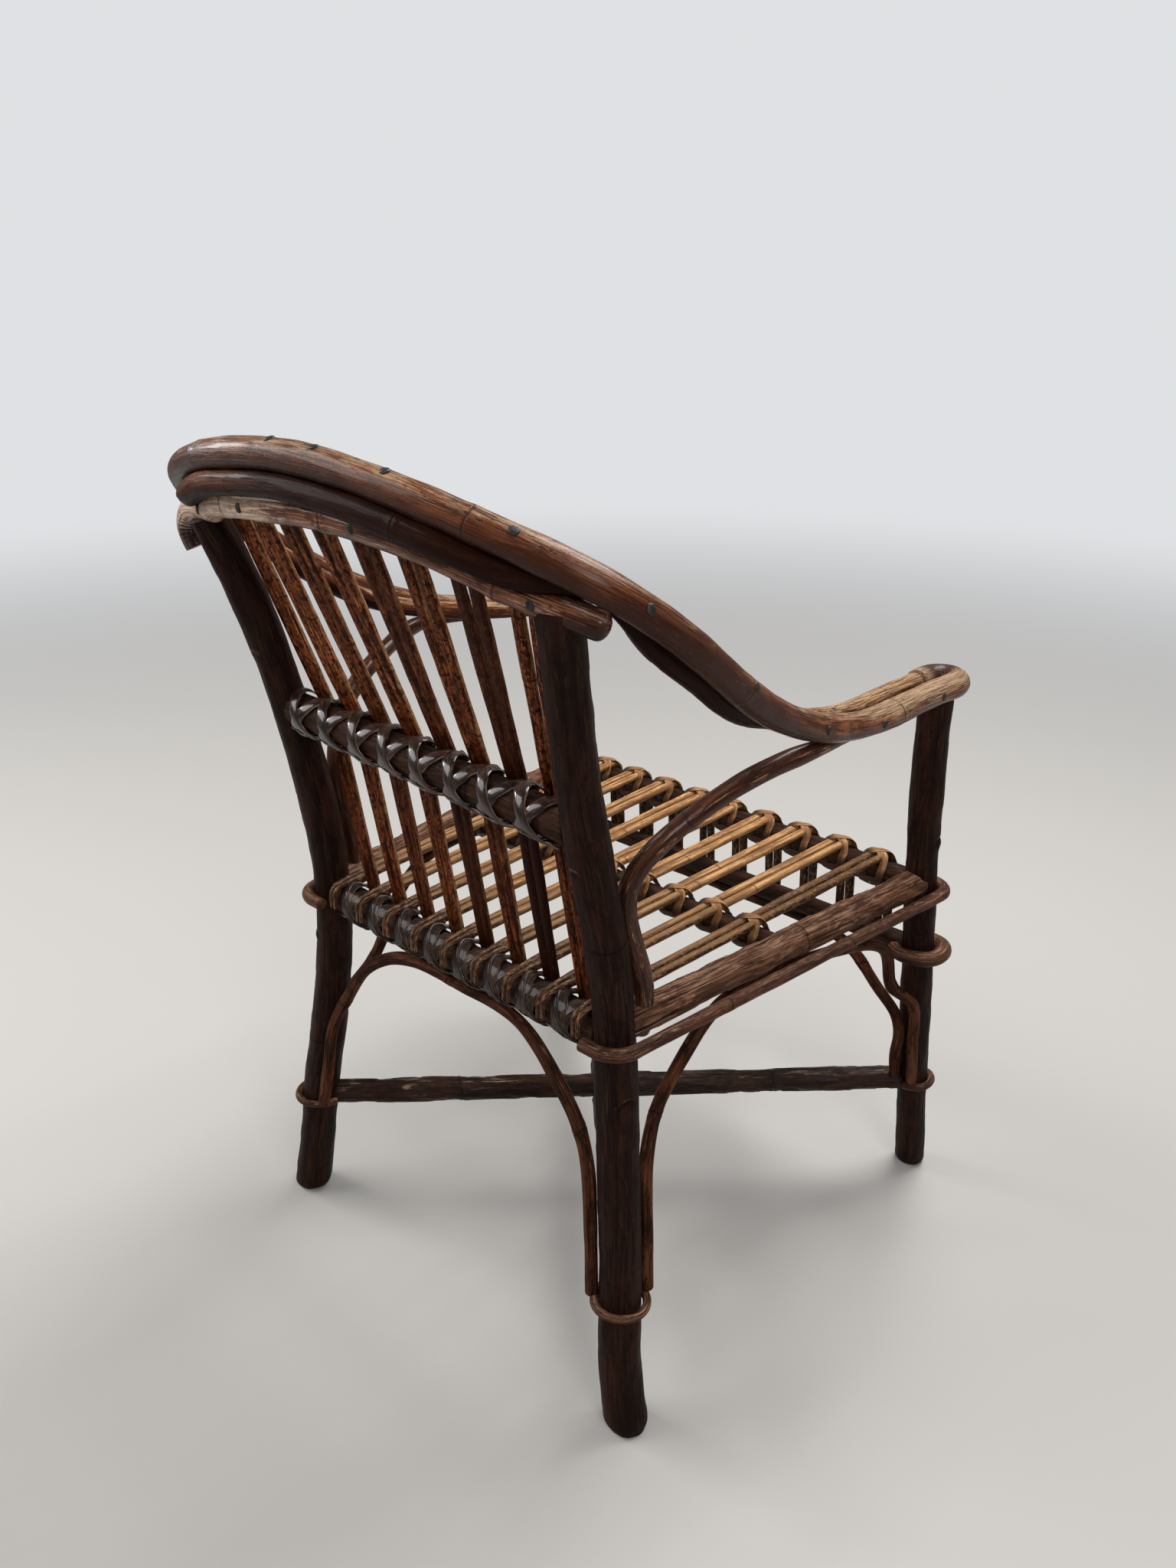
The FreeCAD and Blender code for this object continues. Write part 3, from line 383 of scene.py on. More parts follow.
def finish(name, look):
    look = {**plainCane, **look}
    material = bpy.data.materials.new(name)
    material.use_nodes = True
    tree = material.node_tree
    shader = tree.nodes["Principled BSDF"]

    def put(socket, value):
        if hasattr(value, "is_linked"):
            tree.links.new(value, socket)
        elif isinstance(value, tuple):
            socket.default_value = (*value, 1)
        else:
            socket.default_value = value

    def sums(operation, one, two, clamp=False):
        made = newNode(tree, "ShaderNodeMath", operation=operation, use_clamp=clamp)
        put(made.inputs[0], one)
        put(made.inputs[1], two)
        return made.outputs[0]

    def plus(one, two):
        return sums("ADD", one, two)

    def less(one, two):
        return sums("SUBTRACT", one, two)

    def times(one, two, clamp=False):
        return sums("MULTIPLY", one, two, clamp)

    def between(value, low, high, start=0.0, end=1.0):
        made = newNode(tree, "ShaderNodeMapRange", interpolation_type="SMOOTHSTEP")
        for socket, number in zip(made.inputs, (value, low, high, start, end)):
            put(socket, number)
        return made.outputs[0]

    def blend(amount, one, two):
        made = newNode(tree, "ShaderNodeMix", data_type="RGBA")
        for place, value in ((0, amount), (6, one), (7, two)):
            put(made.inputs[place], value)
        return made.outputs[2]

    def attribute(key, output="Fac"):
        return newNode(tree, "ShaderNodeAttribute", attribute_name=key).outputs[output]

    space = attribute("caneSpace", "Vector")

    def noise(stretch, scale, detail, rough, twist=0.0):
        moved = newNode(tree, "ShaderNodeVectorMath", operation="MULTIPLY")
        put(moved.inputs[0], space)
        moved.inputs[1].default_value = (1, 1, stretch)
        made = newNode(tree, "ShaderNodeTexNoise")
        put(made.inputs["Vector"], moved.outputs[0])
        values = {"Scale": scale, "Detail": detail, "Roughness": rough, "Distortion": twist}
        for key, value in values.items():
            made.inputs[key].default_value = value
        return made.outputs["Fac"]

    wearAndLight, knot, stainAndShade = [attribute(key) for key in skinFields]
    fibre = noise(look["fibreStretch"], look["fibre"], 5, 0.62, 0.15)
    coarse = noise(0.07, 0.42, 3, 0.55)
    patch = noise(0.3, look["patch"], 3, 0.5, 0.4)
    speck = noise(look["speckStretch"], look["speckSize"], 4, 0.72, 0.3)
    flake = noise(0.22, look["flakeSize"], 6, 0.72, 0.5)
    mottle = noise(0.28, look["mottleSize"], 6, 0.68, 0.7)
    crack = noise(0.014, look["crack"], 2, 0.5, 0.1)
    tone = plus(times(fibre, 0.62), times(coarse, 0.38))
    colour = blend(between(tone, 0.4, 0.5), look["dark"], look["mid"])
    colour = blend(between(tone, 0.5, 0.62), colour, look["light"])
    colour = blend(times(between(patch, 0.42, 0.66), look["tintAmount"]), colour, look["tint"])
    colour = blend(times(between(mottle, 0.5, 0.57), look["mottle"]), colour, look["dark"])
    specks = times(between(speck, look["speckFrom"], look["speckFrom"] + 0.09), look["speckAmount"])
    colour = blend(specks, colour, look["speck"])
    cracks = times(between(crack, 0.6, 0.67), look["crackAmount"])
    colour = blend(cracks, colour, look["speck"])
    gone = plus(wearAndLight, times(less(flake, 0.5), look["flakeGain"]))  # rubbed away, in flakes along the fibres, and painted light where the field holds it
    gone = plus(gone, times(less(fibre, 0.5), 0.9))
    gone = times(between(gone, look["wearFrom"], look["wearFrom"] + look["wearSoft"]), look["wearAmount"])
    gone = times(gone, less(1.0, times(cracks, 0.8)))
    gone = times(gone, less(1.0, times(specks, look["speckHold"])))
    # the worn colours paint both rubbed places and painted light
    colour = blend(gone, colour, blend(between(fibre, 0.4, 0.62), look["worn"], look["wornLight"]))
    colour = blend(times(knot, 0.85), colour, look["speck"])
    # this field holds real stains and painted shade alike
    stainedAndShaded = times(stainAndShade, plus(0.72, times(coarse, 0.6)), True)
    colour = blend(stainedAndShaded, colour, look["stainAndShadeColour"])
    flecks = between(speck, look["fleckFrom"], look["fleckFrom"] + 0.1)  # wood seen through the stain and the painted shade
    colour = blend(times(times(stainedAndShaded, flecks), look["fleck"]), colour, look["worn"])
    put(shader.inputs["Base Color"], colour)
    matt = plus(times(between(fibre, 0.35, 0.65), 0.5), times(sums("MAXIMUM", specks, gone), 0.5))
    put(shader.inputs["Roughness"], between(matt, 0.0, 1.0, *look["rough"]))
    height = plus(times(fibre, look["fibreDepth"]), times(coarse, 0.5))
    for lower, depth in ((specks, 0.2), (gone, 0.15), (cracks, 0.5)):
        height = less(height, times(lower, depth))
    bump = newNode(tree, "ShaderNodeBump")
    put(bump.inputs["Strength"], look["bump"])
    put(bump.inputs["Distance"], look["bumpDepth"])
    put(bump.inputs["Height"], height)
    put(shader.inputs["Normal"], bump.outputs[0])
    put(shader.inputs["Specular IOR Level"], look["specular"])
    put(shader.inputs["Coat Weight"], look["coat"])
    put(shader.inputs["Coat Roughness"], look["coatRough"])
    return material


# the worn colours also paint light on tops and edges, and the stain colour paints shade, where the skin
# fields carry them
caneLooks = {
    "postCane": dict(
        dark=(0.0055, 0.0024, 0.0017), mid=(0.0125, 0.0056, 0.0038), light=(0.03, 0.0125, 0.0078),
        tint=(0.03, 0.009, 0.0045), speck=(0.003, 0.0014, 0.001), speckAmount=0.4,
        worn=(0.06, 0.026, 0.015), wornLight=(0.15, 0.085, 0.055), wearFrom=0.62, wearAmount=0.6,
        flakeSize=0.3, rough=(0.42, 0.65), bump=0.8, bumpDepth=0.0009, specular=0.045),
    "hoopCane": dict(
        dark=(0.038, 0.011, 0.0045), mid=(0.125, 0.038, 0.014), light=(0.2, 0.082, 0.034),
        tint=(0.07, 0.021, 0.009), tintAmount=0.55, speck=(0.02, 0.007, 0.004), speckAmount=0.9,
        speckSize=0.62, speckFrom=0.56, speckHold=0.9, worn=(0.125, 0.067, 0.033),
        wornLight=(0.31, 0.215, 0.135), wearFrom=0.34, wearSoft=0.55, flakeGain=1.9, wearAmount=0.9,
        rough=(0.24, 0.44), bump=0.75, specular=0.07, coat=0.15, coatRough=0.13,
        stainAndShadeColour=(0.028, 0.0075, 0.004), fleck=0.3, mottle=0.75, fibreDepth=0.8, crackAmount=0.7),
    "crestCane": dict(
        dark=(0.04, 0.0125, 0.006), mid=(0.18, 0.062, 0.028), light=(0.34, 0.16, 0.08),
        tint=(0.1, 0.03, 0.013), speck=(0.02, 0.007, 0.004), speckAmount=0.7, speckSize=0.55,
        speckHold=0.85, worn=(0.33, 0.2, 0.135), wornLight=(0.62, 0.475, 0.375), wearFrom=0.34,
        wearSoft=0.55, flakeGain=1.6, wearAmount=0.92, rough=(0.24, 0.46), bump=0.85, specular=0.05,
        coat=0.3, coatRough=0.14, stainAndShadeColour=(0.016, 0.005, 0.003), mottle=0.75, mottleSize=0.16,
        crackAmount=0.85),
    "braceCane": dict(
        dark=(0.014, 0.0045, 0.0022), mid=(0.042, 0.0145, 0.007), light=(0.09, 0.035, 0.016),
        tint=(0.06, 0.021, 0.0105), speck=(0.012, 0.004, 0.003), speckAmount=0.6, speckSize=0.5,
        worn=(0.19, 0.085, 0.04), wornLight=(0.34, 0.19, 0.1), wearFrom=0.5, wearSoft=0.2,
        flakeSize=0.3, flakeGain=2.6, rough=(0.26, 0.48), bump=0.6, specular=0.06, coat=0.25,
        coatRough=0.14),
    "railCane": dict(
        dark=(0.008, 0.004, 0.003), mid=(0.024, 0.0105, 0.006), light=(0.05, 0.026, 0.016),
        tint=(0.045, 0.017, 0.009), speck=(0.005, 0.003, 0.002), speckAmount=0.55,
        worn=(0.08, 0.042, 0.024), wornLight=(0.16, 0.095, 0.058), wearFrom=0.55, wearAmount=0.65,
        flakeSize=0.35, rough=(0.4, 0.64), bump=0.8, bumpDepth=0.0008, specular=0.035),
    "sideRailCane": dict(
        dark=(0.03, 0.012, 0.006), mid=(0.12, 0.056, 0.031), light=(0.24, 0.135, 0.084),
        tint=(0.09, 0.034, 0.016), speck=(0.012, 0.005, 0.003), speckAmount=0.65, speckStretch=0.08,
        worn=(0.19, 0.105, 0.063), wornLight=(0.31, 0.19, 0.123), wearFrom=0.46, wearAmount=0.7,
        crack=0.8, crackAmount=0.9, rough=(0.5, 0.75), bump=1.0, bumpDepth=0.0013, fibre=1.1,
        specular=0.05, mottle=0.7),
    "archCane": dict(
        dark=(0.008, 0.003, 0.0018), mid=(0.03, 0.011, 0.0058), light=(0.085, 0.032, 0.0145),
        tint=(0.13, 0.046, 0.02), tintAmount=0.55, speck=(0.007, 0.003, 0.002), speckAmount=0.7,
        speckSize=0.6, worn=(0.16, 0.062, 0.025), wornLight=(0.3, 0.14, 0.062), wearFrom=0.55,
        wearAmount=0.75, flakeSize=0.45, rough=(0.4, 0.62), bump=0.9, bumpDepth=0.0008, specular=0.03),
    "tieCane": dict(
        dark=(0.02, 0.008, 0.0045), mid=(0.058, 0.024, 0.013), light=(0.13, 0.062, 0.035),
        tint=(0.09, 0.032, 0.017), speck=(0.012, 0.005, 0.003), speckAmount=0.65, speckSize=0.7,
        worn=(0.17, 0.085, 0.046), wornLight=(0.3, 0.175, 0.1), wearFrom=0.48, wearAmount=0.7,
        flakeSize=0.5, rough=(0.36, 0.58), bump=0.8, specular=0.07),
    "stretcherCane": dict(
        dark=(0.007, 0.0035, 0.0025), mid=(0.018, 0.0085, 0.0055), light=(0.045, 0.022, 0.013),
        tint=(0.05, 0.019, 0.009), tintAmount=0.4, speck=(0.004, 0.0025, 0.002),
        worn=(0.11, 0.064, 0.04), wornLight=(0.32, 0.22, 0.15), wearFrom=0.47, flakeSize=0.14,
        flakeGain=2.8, rough=(0.3, 0.6), bump=1.0, bumpDepth=0.0012, specular=0.09),
    "backSlat": dict(
        dark=(0.024, 0.0045, 0.0016), mid=(0.19, 0.047, 0.014), light=(0.42, 0.15, 0.048),
        tint=(0.13, 0.028, 0.008), speck=(0.009, 0.003, 0.002), speckAmount=0.95, speckSize=0.5,
        speckFrom=0.485, speckStretch=0.7, worn=(0.28, 0.12, 0.05), wornLight=(0.4, 0.22, 0.115),
        wearFrom=0.42, wearAmount=0.85, flakeSize=0.4, rough=(0.34, 0.56), bump=0.6, specular=0.035,
        stainAndShadeColour=(0.016, 0.0045, 0.0025), fleck=0.12, mottle=0.8, mottleSize=0.28),
    "seatSlat": dict(
        dark=(0.14, 0.055, 0.019), mid=(0.33, 0.168, 0.063), light=(0.56, 0.345, 0.155),
        tint=(0.22, 0.1, 0.04), tintAmount=0.45, speck=(0.055, 0.02, 0.009), speckAmount=0.7,
        speckSize=0.7, speckFrom=0.56, worn=(0.42, 0.235, 0.098), wornLight=(0.6, 0.39, 0.19),
        wearFrom=0.5, wearAmount=0.6, flakeSize=0.4, rough=(0.36, 0.58), bump=0.55, specular=0.08,
        crackAmount=0.7, stainAndShadeColour=(0.026, 0.0105, 0.0055), fleck=0.36, fleckFrom=0.51,
        mottle=0.5, mottleSize=0.2),
    "darkPeel": dict(
        dark=(0.005, 0.003, 0.0026), mid=(0.02, 0.0095, 0.0065), light=(0.05, 0.026, 0.018),
        tint=(0.05, 0.021, 0.012), tintAmount=0.4, speck=(0.005, 0.003, 0.003), speckAmount=0.45,
        worn=(0.1, 0.06, 0.041), wornLight=(0.2, 0.145, 0.11), wearFrom=0.62, wearAmount=0.7,
        rough=(0.14, 0.34), bump=0.7, fibreStretch=0.06, specular=0.13, coat=0.5, coatRough=0.07),
    "dullPeel": dict(
        dark=(0.005, 0.0035, 0.0026), mid=(0.019, 0.012, 0.0085), light=(0.052, 0.034, 0.025),
        tint=(0.05, 0.02, 0.0095), tintAmount=0.6, speck=(0.005, 0.004, 0.003), speckAmount=0.7,
        worn=(0.1, 0.064, 0.045), wornLight=(0.36, 0.285, 0.235), wearFrom=0.74, wearAmount=0.85,
        flakeGain=1.2, mottle=0.8, rough=(0.24, 0.5), bump=0.9, bumpDepth=0.0009, fibreStretch=0.08,
        specular=0.1, patch=0.12, coat=0.2, coatRough=0.09),
    "palePeel": dict(
        dark=(0.13, 0.058, 0.024), mid=(0.24, 0.12, 0.05), light=(0.38, 0.22, 0.105),
        tint=(0.17, 0.07, 0.028), speck=(0.055, 0.021, 0.01), speckAmount=0.6, speckSize=0.9,
        worn=(0.36, 0.205, 0.095), wornLight=(0.48, 0.31, 0.17), wearFrom=0.6, wearAmount=0.5,
        rough=(0.36, 0.56), bump=0.5, fibreStretch=0.06, specular=0.08, mottleSize=0.3,
        stainAndShadeColour=(0.035, 0.016, 0.009)),
    "nailIron": dict(
        dark=(0.009, 0.009, 0.009), mid=(0.02, 0.019, 0.019), light=(0.045, 0.043, 0.042),
        tint=(0.035, 0.018, 0.011), patch=0.5, speck=(0.008, 0.006, 0.006), speckAmount=0.6,
        worn=(0.08, 0.074, 0.07), wornLight=(0.15, 0.142, 0.135), wearFrom=0.6, wearAmount=0.6,
        fibreStretch=1.0, rough=(0.3, 0.55), bump=0.5, specular=0.2),
}
caneLooks["innerHoopCane"] = dict(
    caneLooks["hoopCane"], worn=(0.14, 0.072, 0.033), wornLight=(0.35, 0.232, 0.138), rough=(0.34, 0.6),
    bump=1.0, specular=0.02, coat=0.05, coatRough=0.1, stainAndShadeColour=(0.013, 0.004, 0.0022), fleck=0.0,
    mottle=0.85, crackAmount=0.95)
looks = {name: finish(name, look) for name, look in caneLooks.items()}
print("finishes made")


def facing(way, low, high, gain=1.0, base=0.0):
    # paler where the skin faces a way: rubbed wear, and where the way is upward also painted light on the top
    way = unit(way)
    return lambda grid, normal, share, turn: base + gain * ease(normal @ way, low, high)


# posts
frontPost = [(-158, -195.5, -6), (-158, -187.2, 43.5), (-158, -179.3, 93.1), (-158.1, -172.4, 142.8),
             (-157.6, -165.9, 192.6), (-157, -159.7, 242.5), (-156.9, -153.8, 292.3),
             (-157.1, -149.7, 342.4), (-157, -149, 380.2)]
posts = {
    "backRight": {
        "seed": 3, "node": "back_post_right", "foot": 12.5, "head": 10.75, "knots": (0.62,),
        "scars": [(0.42, (-0.9, 0.3, 0.1), 5.0), (0.71, (0.1, 0.95, 0.1), 4.0)],
        "line": [(-154.2, 129.5, -6), (-145.1, 127.2, 44), (-140, 121.9, 94.6), (-133, 116.5, 144.9),
                 (-127.1, 112.4, 195.4), (-123.6, 111.8, 246.2), (-121.9, 117, 297), (-120.2, 126.7, 347),
                 (-120.9, 138.2, 396.7), (-126, 150.6, 445.9), (-133.6, 164.7, 491.5)]},
    "backLeft": {
        "seed": 8, "node": "back_post_left", "foot": 12.5, "head": 10.75, "knots": (0.27,),
        "scars": [(0.835, (0.08, 0.95, 0.27), 5.0), (0.43, (0.5, 0.8, 0.1), 4.5)],
        "line": [(154.2, 129.5, -6), (145, 127.1, 44.4), (139.9, 121.8, 95.5), (132.8, 116.4, 146.2),
                 (126.9, 112.3, 197.2), (123.5, 111.9, 248.5), (121.8, 117.4, 299.6), (120.1, 127.4, 350.1),
                 (121.2, 139, 400.2), (126.5, 151.8, 449.7), (134.6, 166.7, 495.5)]},
    "frontRight": {
        "seed": 12, "node": "front_post_right", "foot": 10.5, "head": 10.5, "knots": (),
        "scars": [(0.74, (-0.9, -0.2, 0.1), 4.5)], "line": frontPost},
    "frontLeft": {
        "seed": 17, "node": "front_post_left", "foot": 10.5, "head": 10.5, "knots": (),
        "scars": [(0.6, (0.7, -0.7, 0.1), 4.5)], "line": mirrored(frontPost)},
}
peg = {"x": 156.0, "y": -149, "low": 374, "high": 391, "radius": 1.8}
for key, post in posts.items():
    strand = newStrand()
    foot, head = post["foot"], post["head"]
    addCane(strand, smoothLine(post["line"]), lambda t: foot + (head - foot) * t, post["seed"], sides=40,
            knots=post["knots"], swell=0.25, ridge=0.3, waver=0.016, onFloor=True, step=1.8, bark=0.22,
            scars=post["scars"],
            wearAndLight=lambda g, n, t, a: 0.35 * ease(-t, -0.16, -0.02) + 0.1 * np.cos(a * 2))
    if key.startswith("front"):  # a peg stands up between the arm's two canes
        side = math.copysign(peg["x"], post["line"][0][0])
        addCane(strand, [(side, peg["y"], peg["low"]), (side, peg["y"], peg["high"])], peg["radius"],
                post["seed"] + 1, sides=14, ridge=0.05)
    makePiece(key + "Post", strand, "postCane", "post_cane", post["node"])
print("posts made")

# hoops: both arms and the top of the back
hoop = {
    "armX": 166.0, "armZ": 388.6, "radius": 8.0, "seed": 21,
    # outward, y, up, and how much higher the left side is
    "rows": [(-20, -143, 0, 0), (-20, -153, 0, 0), (-17, -161, 0, 0), (-10, -164.5, 0, 0), (-3, -161, 0, 0),
             (0, -153, 0, 0), (-0.5, -139, 0, 0), (-1.2, -90.5, 0, 4.2), (0.9, -31.7, 4.7, 8.3),
             (1.1, 28, 23.1, 9.5), (4.5, 81.4, 54.1, 8.4), (5.6, 126.8, 87.3, 7.2),
             (-7.6, 161.8, 113.2, 7.0), (-41.6, 182, 130.1, 7.0), (-96.9, 192.5, 144.3, 4.5),
             (-166, 196, 152.7, 0)],
    "knots": (0.105, 0.258, 0.405, 0.585, 0.66, 0.9),
    "bend": (158.4, 161.8, 508.8), "inward": (-0.6, 0.2, -0.75), "crease": 13.0,
}
rightHoop = [(-hoop["armX"] - out, y, hoop["armZ"] + up) for out, y, up, lift in hoop["rows"]]
leftHoop = [(hoop["armX"] + out, y, hoop["armZ"] + up + lift) for out, y, up, lift in hoop["rows"]]
hoopLine = smoothLine(rightHoop + leftHoop[-2::-1])


# painted shade: the hoop is darkened on its underside, on the lower sides of the S-bends, under the top of
# the back and at each arm's end
def hoopPaintedShade(grid, normal, share, turn):
    y, down = grid[..., 1], -normal[..., 2]
    curl = 0.95 * ease(-y, 145, 155) * ease(-np.abs(grid[..., 0]), -166, -158)  # painted shade at the front end of each arm, where it curls round the post
    under = 0.6 * ease(down, 0.05, 0.7)
    sides = np.maximum(0.95 * ease(y, -10, 60) * ease(-y, -185, -150), 0.6 * ease(y, 150, 185))
    return curl + under + ease(down, -0.7, 0.15) * sides


def hoopWearAndTopLight(grid, normal, share, turn):
    front = ease(-grid[..., 1], 10, 90)  # hands have rubbed the arms pale
    # painted light: the upward-facing skin is paled as a lit top, on top of the hand wear at the front
    return 0.6 * ease(normal[..., 2], 0.1, 0.95) + 0.5 * front


hoopBend = np.argmin(np.linalg.norm(hoopLine - hoop["bend"], axis=1)) / (len(hoopLine) - 1)
strand = newStrand()
addCane(strand, hoopLine, hoop["radius"], hoop["seed"], sides=34, knots=hoop["knots"], swell=0.3,
        ridge=0.24, waver=0.02, wearAndLight=hoopWearAndTopLight, stainAndShade=hoopPaintedShade,
        creases=[(hoopBend, hoop["crease"], hoop["inward"])])
makePiece("outerHoop", strand, "hoopCane", "hoop_cane", "outer_hoop")

innerHoop = {
    "seed": 27, "knots": (0.2, 0.43, 0.71), "radius": 6.0, "topSwell": 0.7,
    "line": [
        (-145.6, -140.9, 388.6), (-144.4, -108.0, 388.5), (-145.4, -75.0, 389.0), (-146.7, -42.2, 391.7),
        (-147.0, -9.9, 398.2), (-147.9, 21.8, 407.4), (-152.4, 52.4, 418.6), (-157.4, 80.9, 434.4),
        (-159.5, 107.5, 453.7), (-157.8, 133.4, 474.2), (-147.1, 153.3, 497.8), (-124.5, 176.2, 504.0),
        (-96.0, 190.2, 512.5), (-64.1, 194.7, 519.5), (-31.6, 197.0, 524.6), (1.2, 197.7, 527.2),
        (34.2, 196.8, 526.7), (66.9, 194.4, 523.5), (99.2, 190.3, 518.0), (128.8, 179.2, 509.1),
        (148.5, 153.3, 503.7), (157.2, 131.7, 482.7), (159.6, 107.4, 461.0), (157.6, 80.3, 442.3),
        (154.5, 51.9, 425.9), (150.0, 21.4, 414.0), (147.6, -10.4, 406.0), (146.6, -42.8, 399.5),
        (145.4, -75.3, 394.6), (144.4, -108.1, 390.8), (145.6, -140.9, 388.6)],
}


def innerRadius(t):
    return innerHoop["radius"] + innerHoop["topSwell"] * float(ease(0.5 - abs(t - 0.5), 0.3, 0.38))


# painted shade: at the top of the back, under the outer hoop, the inner hoop pales less and is darkened, less
# so on the left
def innerHoopWearLightAndShade(grid, normal, share, turn):
    return hoopWearAndTopLight(grid, normal, share, turn) * (1 - 0.6 * ease(grid[..., 1], 130, 175))


def innerHoopPaintedShade(grid, normal, share, turn):
    top = (0.96 - 0.7 * ease(grid[..., 0], 10, 95)) * ease(grid[..., 1], 130, 175)
    return np.maximum(hoopPaintedShade(grid, normal, share, turn), top)


strand = newStrand()
addCane(strand, smoothLine(innerHoop["line"]), innerRadius, innerHoop["seed"], sides=30,
        knots=innerHoop["knots"], swell=0.22, ridge=0.34, bark=0.2, waver=0.02, wearAndLight=innerHoopWearLightAndShade,
        stainAndShade=innerHoopPaintedShade)
makePiece("innerHoop", strand, "innerHoopCane", "hoop_cane", "inner_hoop")

crest = {
    "radius": 7.0, "seed": 33, "knots": (0.14, 0.44, 0.72, 0.835),
    "curl": (0.945, 9.0, (-0.8, 0.1, -0.6)),  # share of its length, reach, and way inward
    "line": [(-151.4, 158.2, 484.5), (-134.0, 167.2, 490.5), (-115.2, 173.2, 496.0), (-67.0, 184.2, 509.0),
             (0.0, 189.2, 515.0), (67.0, 184.2, 510.6), (115.2, 173.2, 503.2), (134.0, 167.2, 498.5),
             (146.0, 167.0, 498.0), (154.5, 166.0, 493.3), (158.0, 164.5, 485.0), (155.5, 162.5, 475.0)],
}
crestLine = smoothLine(crest["line"])


def crestWearAndLight(grid, normal, share, turn):
    # paler on top as painted light; the left end is paled, partly a worn pale patch and partly a painted
    # highlight on its back-facing side
    left = ease(grid[..., 0], -10, 80) * (0.4 + 0.6 * ease(normal[..., 1], -0.4, 0.4))
    return 0.2 + 0.25 * ease(normal[..., 2], 0.0, 0.9) + 0.8 * left


def crestStainAndShade(grid, normal, share, turn):
    # the right part is a little darker on its upper side
    right = ease(-grid[..., 0], -20, 60) * ease(normal[..., 2], -0.5, 0.3)
    down = -grid[..., 2]  # the curled end is darkened inside, where it faces the post, and at its low tip: painted shade
    curl = ease(down, -493, -482) * np.maximum(ease(-normal[..., 0], -0.9, 0.2), ease(down, -483, -476))
    return 0.15 * right + 0.9 * curl


strand = newStrand()
addCane(strand, crestLine, crest["radius"], crest["seed"], sides=34, knots=crest["knots"], swell=0.7,
        ridge=0.3, bark=0.25, waver=0.02, ends=("round", "sawn"), creases=[crest["curl"]], wearAndLight=crestWearAndLight,
        stainAndShade=crestStainAndShade)
makePiece("crestRail", strand, "crestCane", "crest_cane", "crest_rail")
print("hoops and crest made")

# braces thin out where they lie under the arms
braces = {
    "Right": {
        "seed": 41, "node": "arm_brace_right", "outer": -0.8,
        "line": [
            (-126.7, 94.0, 242.0), (-126.7, 91.9, 263.4), (-124.8, 96.0, 286.6), (-122.7, 101.8, 310.0),
            (-123.9, 102.2, 331.7), (-130.9, 91.7, 350.1), (-139.0, 74.1, 363.8), (-144.8, 54.3, 372.8),
            (-150.7, 33.4, 379.5), (-157.7, 12.0, 384.5), (-162.1, -9.8, 384.8), (-161.9, -31.9, 379.9),
            (-161.3, -54.3, 377.1)]},
    "Left": {
        "seed": 44, "node": "arm_brace_left", "outer": 0.8,
        "line": [
            (126.7, 94.0, 242.0), (126.4, 92.5, 264.2), (124.6, 96.5, 287.8), (122.8, 101.7, 311.3),
            (124.2, 101.9, 333.6), (130.8, 92.0, 353.4), (138.5, 75.5, 369.2), (144.2, 56.1, 380.2),
            (150.2, 35.0, 388.2), (157.4, 13.1, 393.6), (162.1, -9.1, 393.8), (161.9, -31.6, 388.2),
            (161.3, -54.3, 384.2)]},
}
braceShape = {"radius": 5.5, "thinner": 4.0, "lift": 4.7, "from": 0.76, "to": 0.97}


def braceThin(t):
    return ease(t, braceShape["from"], braceShape["to"])


for key, brace in braces.items():
    strand = newStrand()
    line = smoothLine(brace["line"])
    line[:, 2] += braceShape["lift"] * braceThin(np.linspace(0, 1, len(line)))
    addCane(strand, line, lambda t: braceShape["radius"] - braceShape["thinner"] * float(braceThin(t)),
            brace["seed"], knots=(0.5,), swell=0.3, ridge=0.18, waver=0.025, ends=roundEnds,
            wearAndLight=facing((brace["outer"], 0, -0.3), -0.3, 0.6, 0.27, 0.05))
    makePiece("armBrace" + key, strand, "braceCane", "brace_cane", brace["node"])

sideArch = [
    (-147.1, 107.2, 83.7), (-144.9, 105.3, 101.5), (-142.4, 103.1, 119.2), (-140.1, 101.8, 137.2),
    (-136.3, 97.7, 154.0), (-130.5, 87.9, 168.3), (-127.1, 76.8, 182.3), (-128.4, 66.6, 197.1),
    (-130.7, 55.7, 211.7), (-132.3, 42.5, 224.2), (-134.0, 26.7, 232.3), (-136.2, 8.9, 235.4),
    (-138.5, -9.2, 235.5), (-140.7, -27.0, 234.0), (-142.8, -44.8, 231.7), (-145.0, -62.5, 229.0),
    (-147.2, -80.2, 225.9), (-149.4, -97.4, 221.8), (-151.5, -114.7, 215.8), (-153.2, -128.3, 204.8),
    (-153.7, -134.3, 187.4), (-155.5, -141.7, 171.4), (-162.9, -153.8, 159.4), (-164.9, -158.5, 143.0),
    (-164.4, -160.3, 124.7), (-164.7, -163.2, 107.1), (-164.6, -165.8, 89.2)]
backArch = [
    (-126.6, 131.6, 83.7), (-124.4, 129.6, 101.8), (-121.8, 127.5, 119.9), (-119.6, 125.9, 138.1),
    (-115.2, 122.7, 155.5), (-107.2, 118.7, 171.7), (-97.6, 117.7, 187.3), (-85.9, 117.5, 201.6),
    (-71.5, 115.8, 213.2), (-55.0, 113.4, 221.0), (-37.2, 112.0, 224.2), (-18.8, 111.5, 224.5),
    (0.0, 111.4, 224.1)]
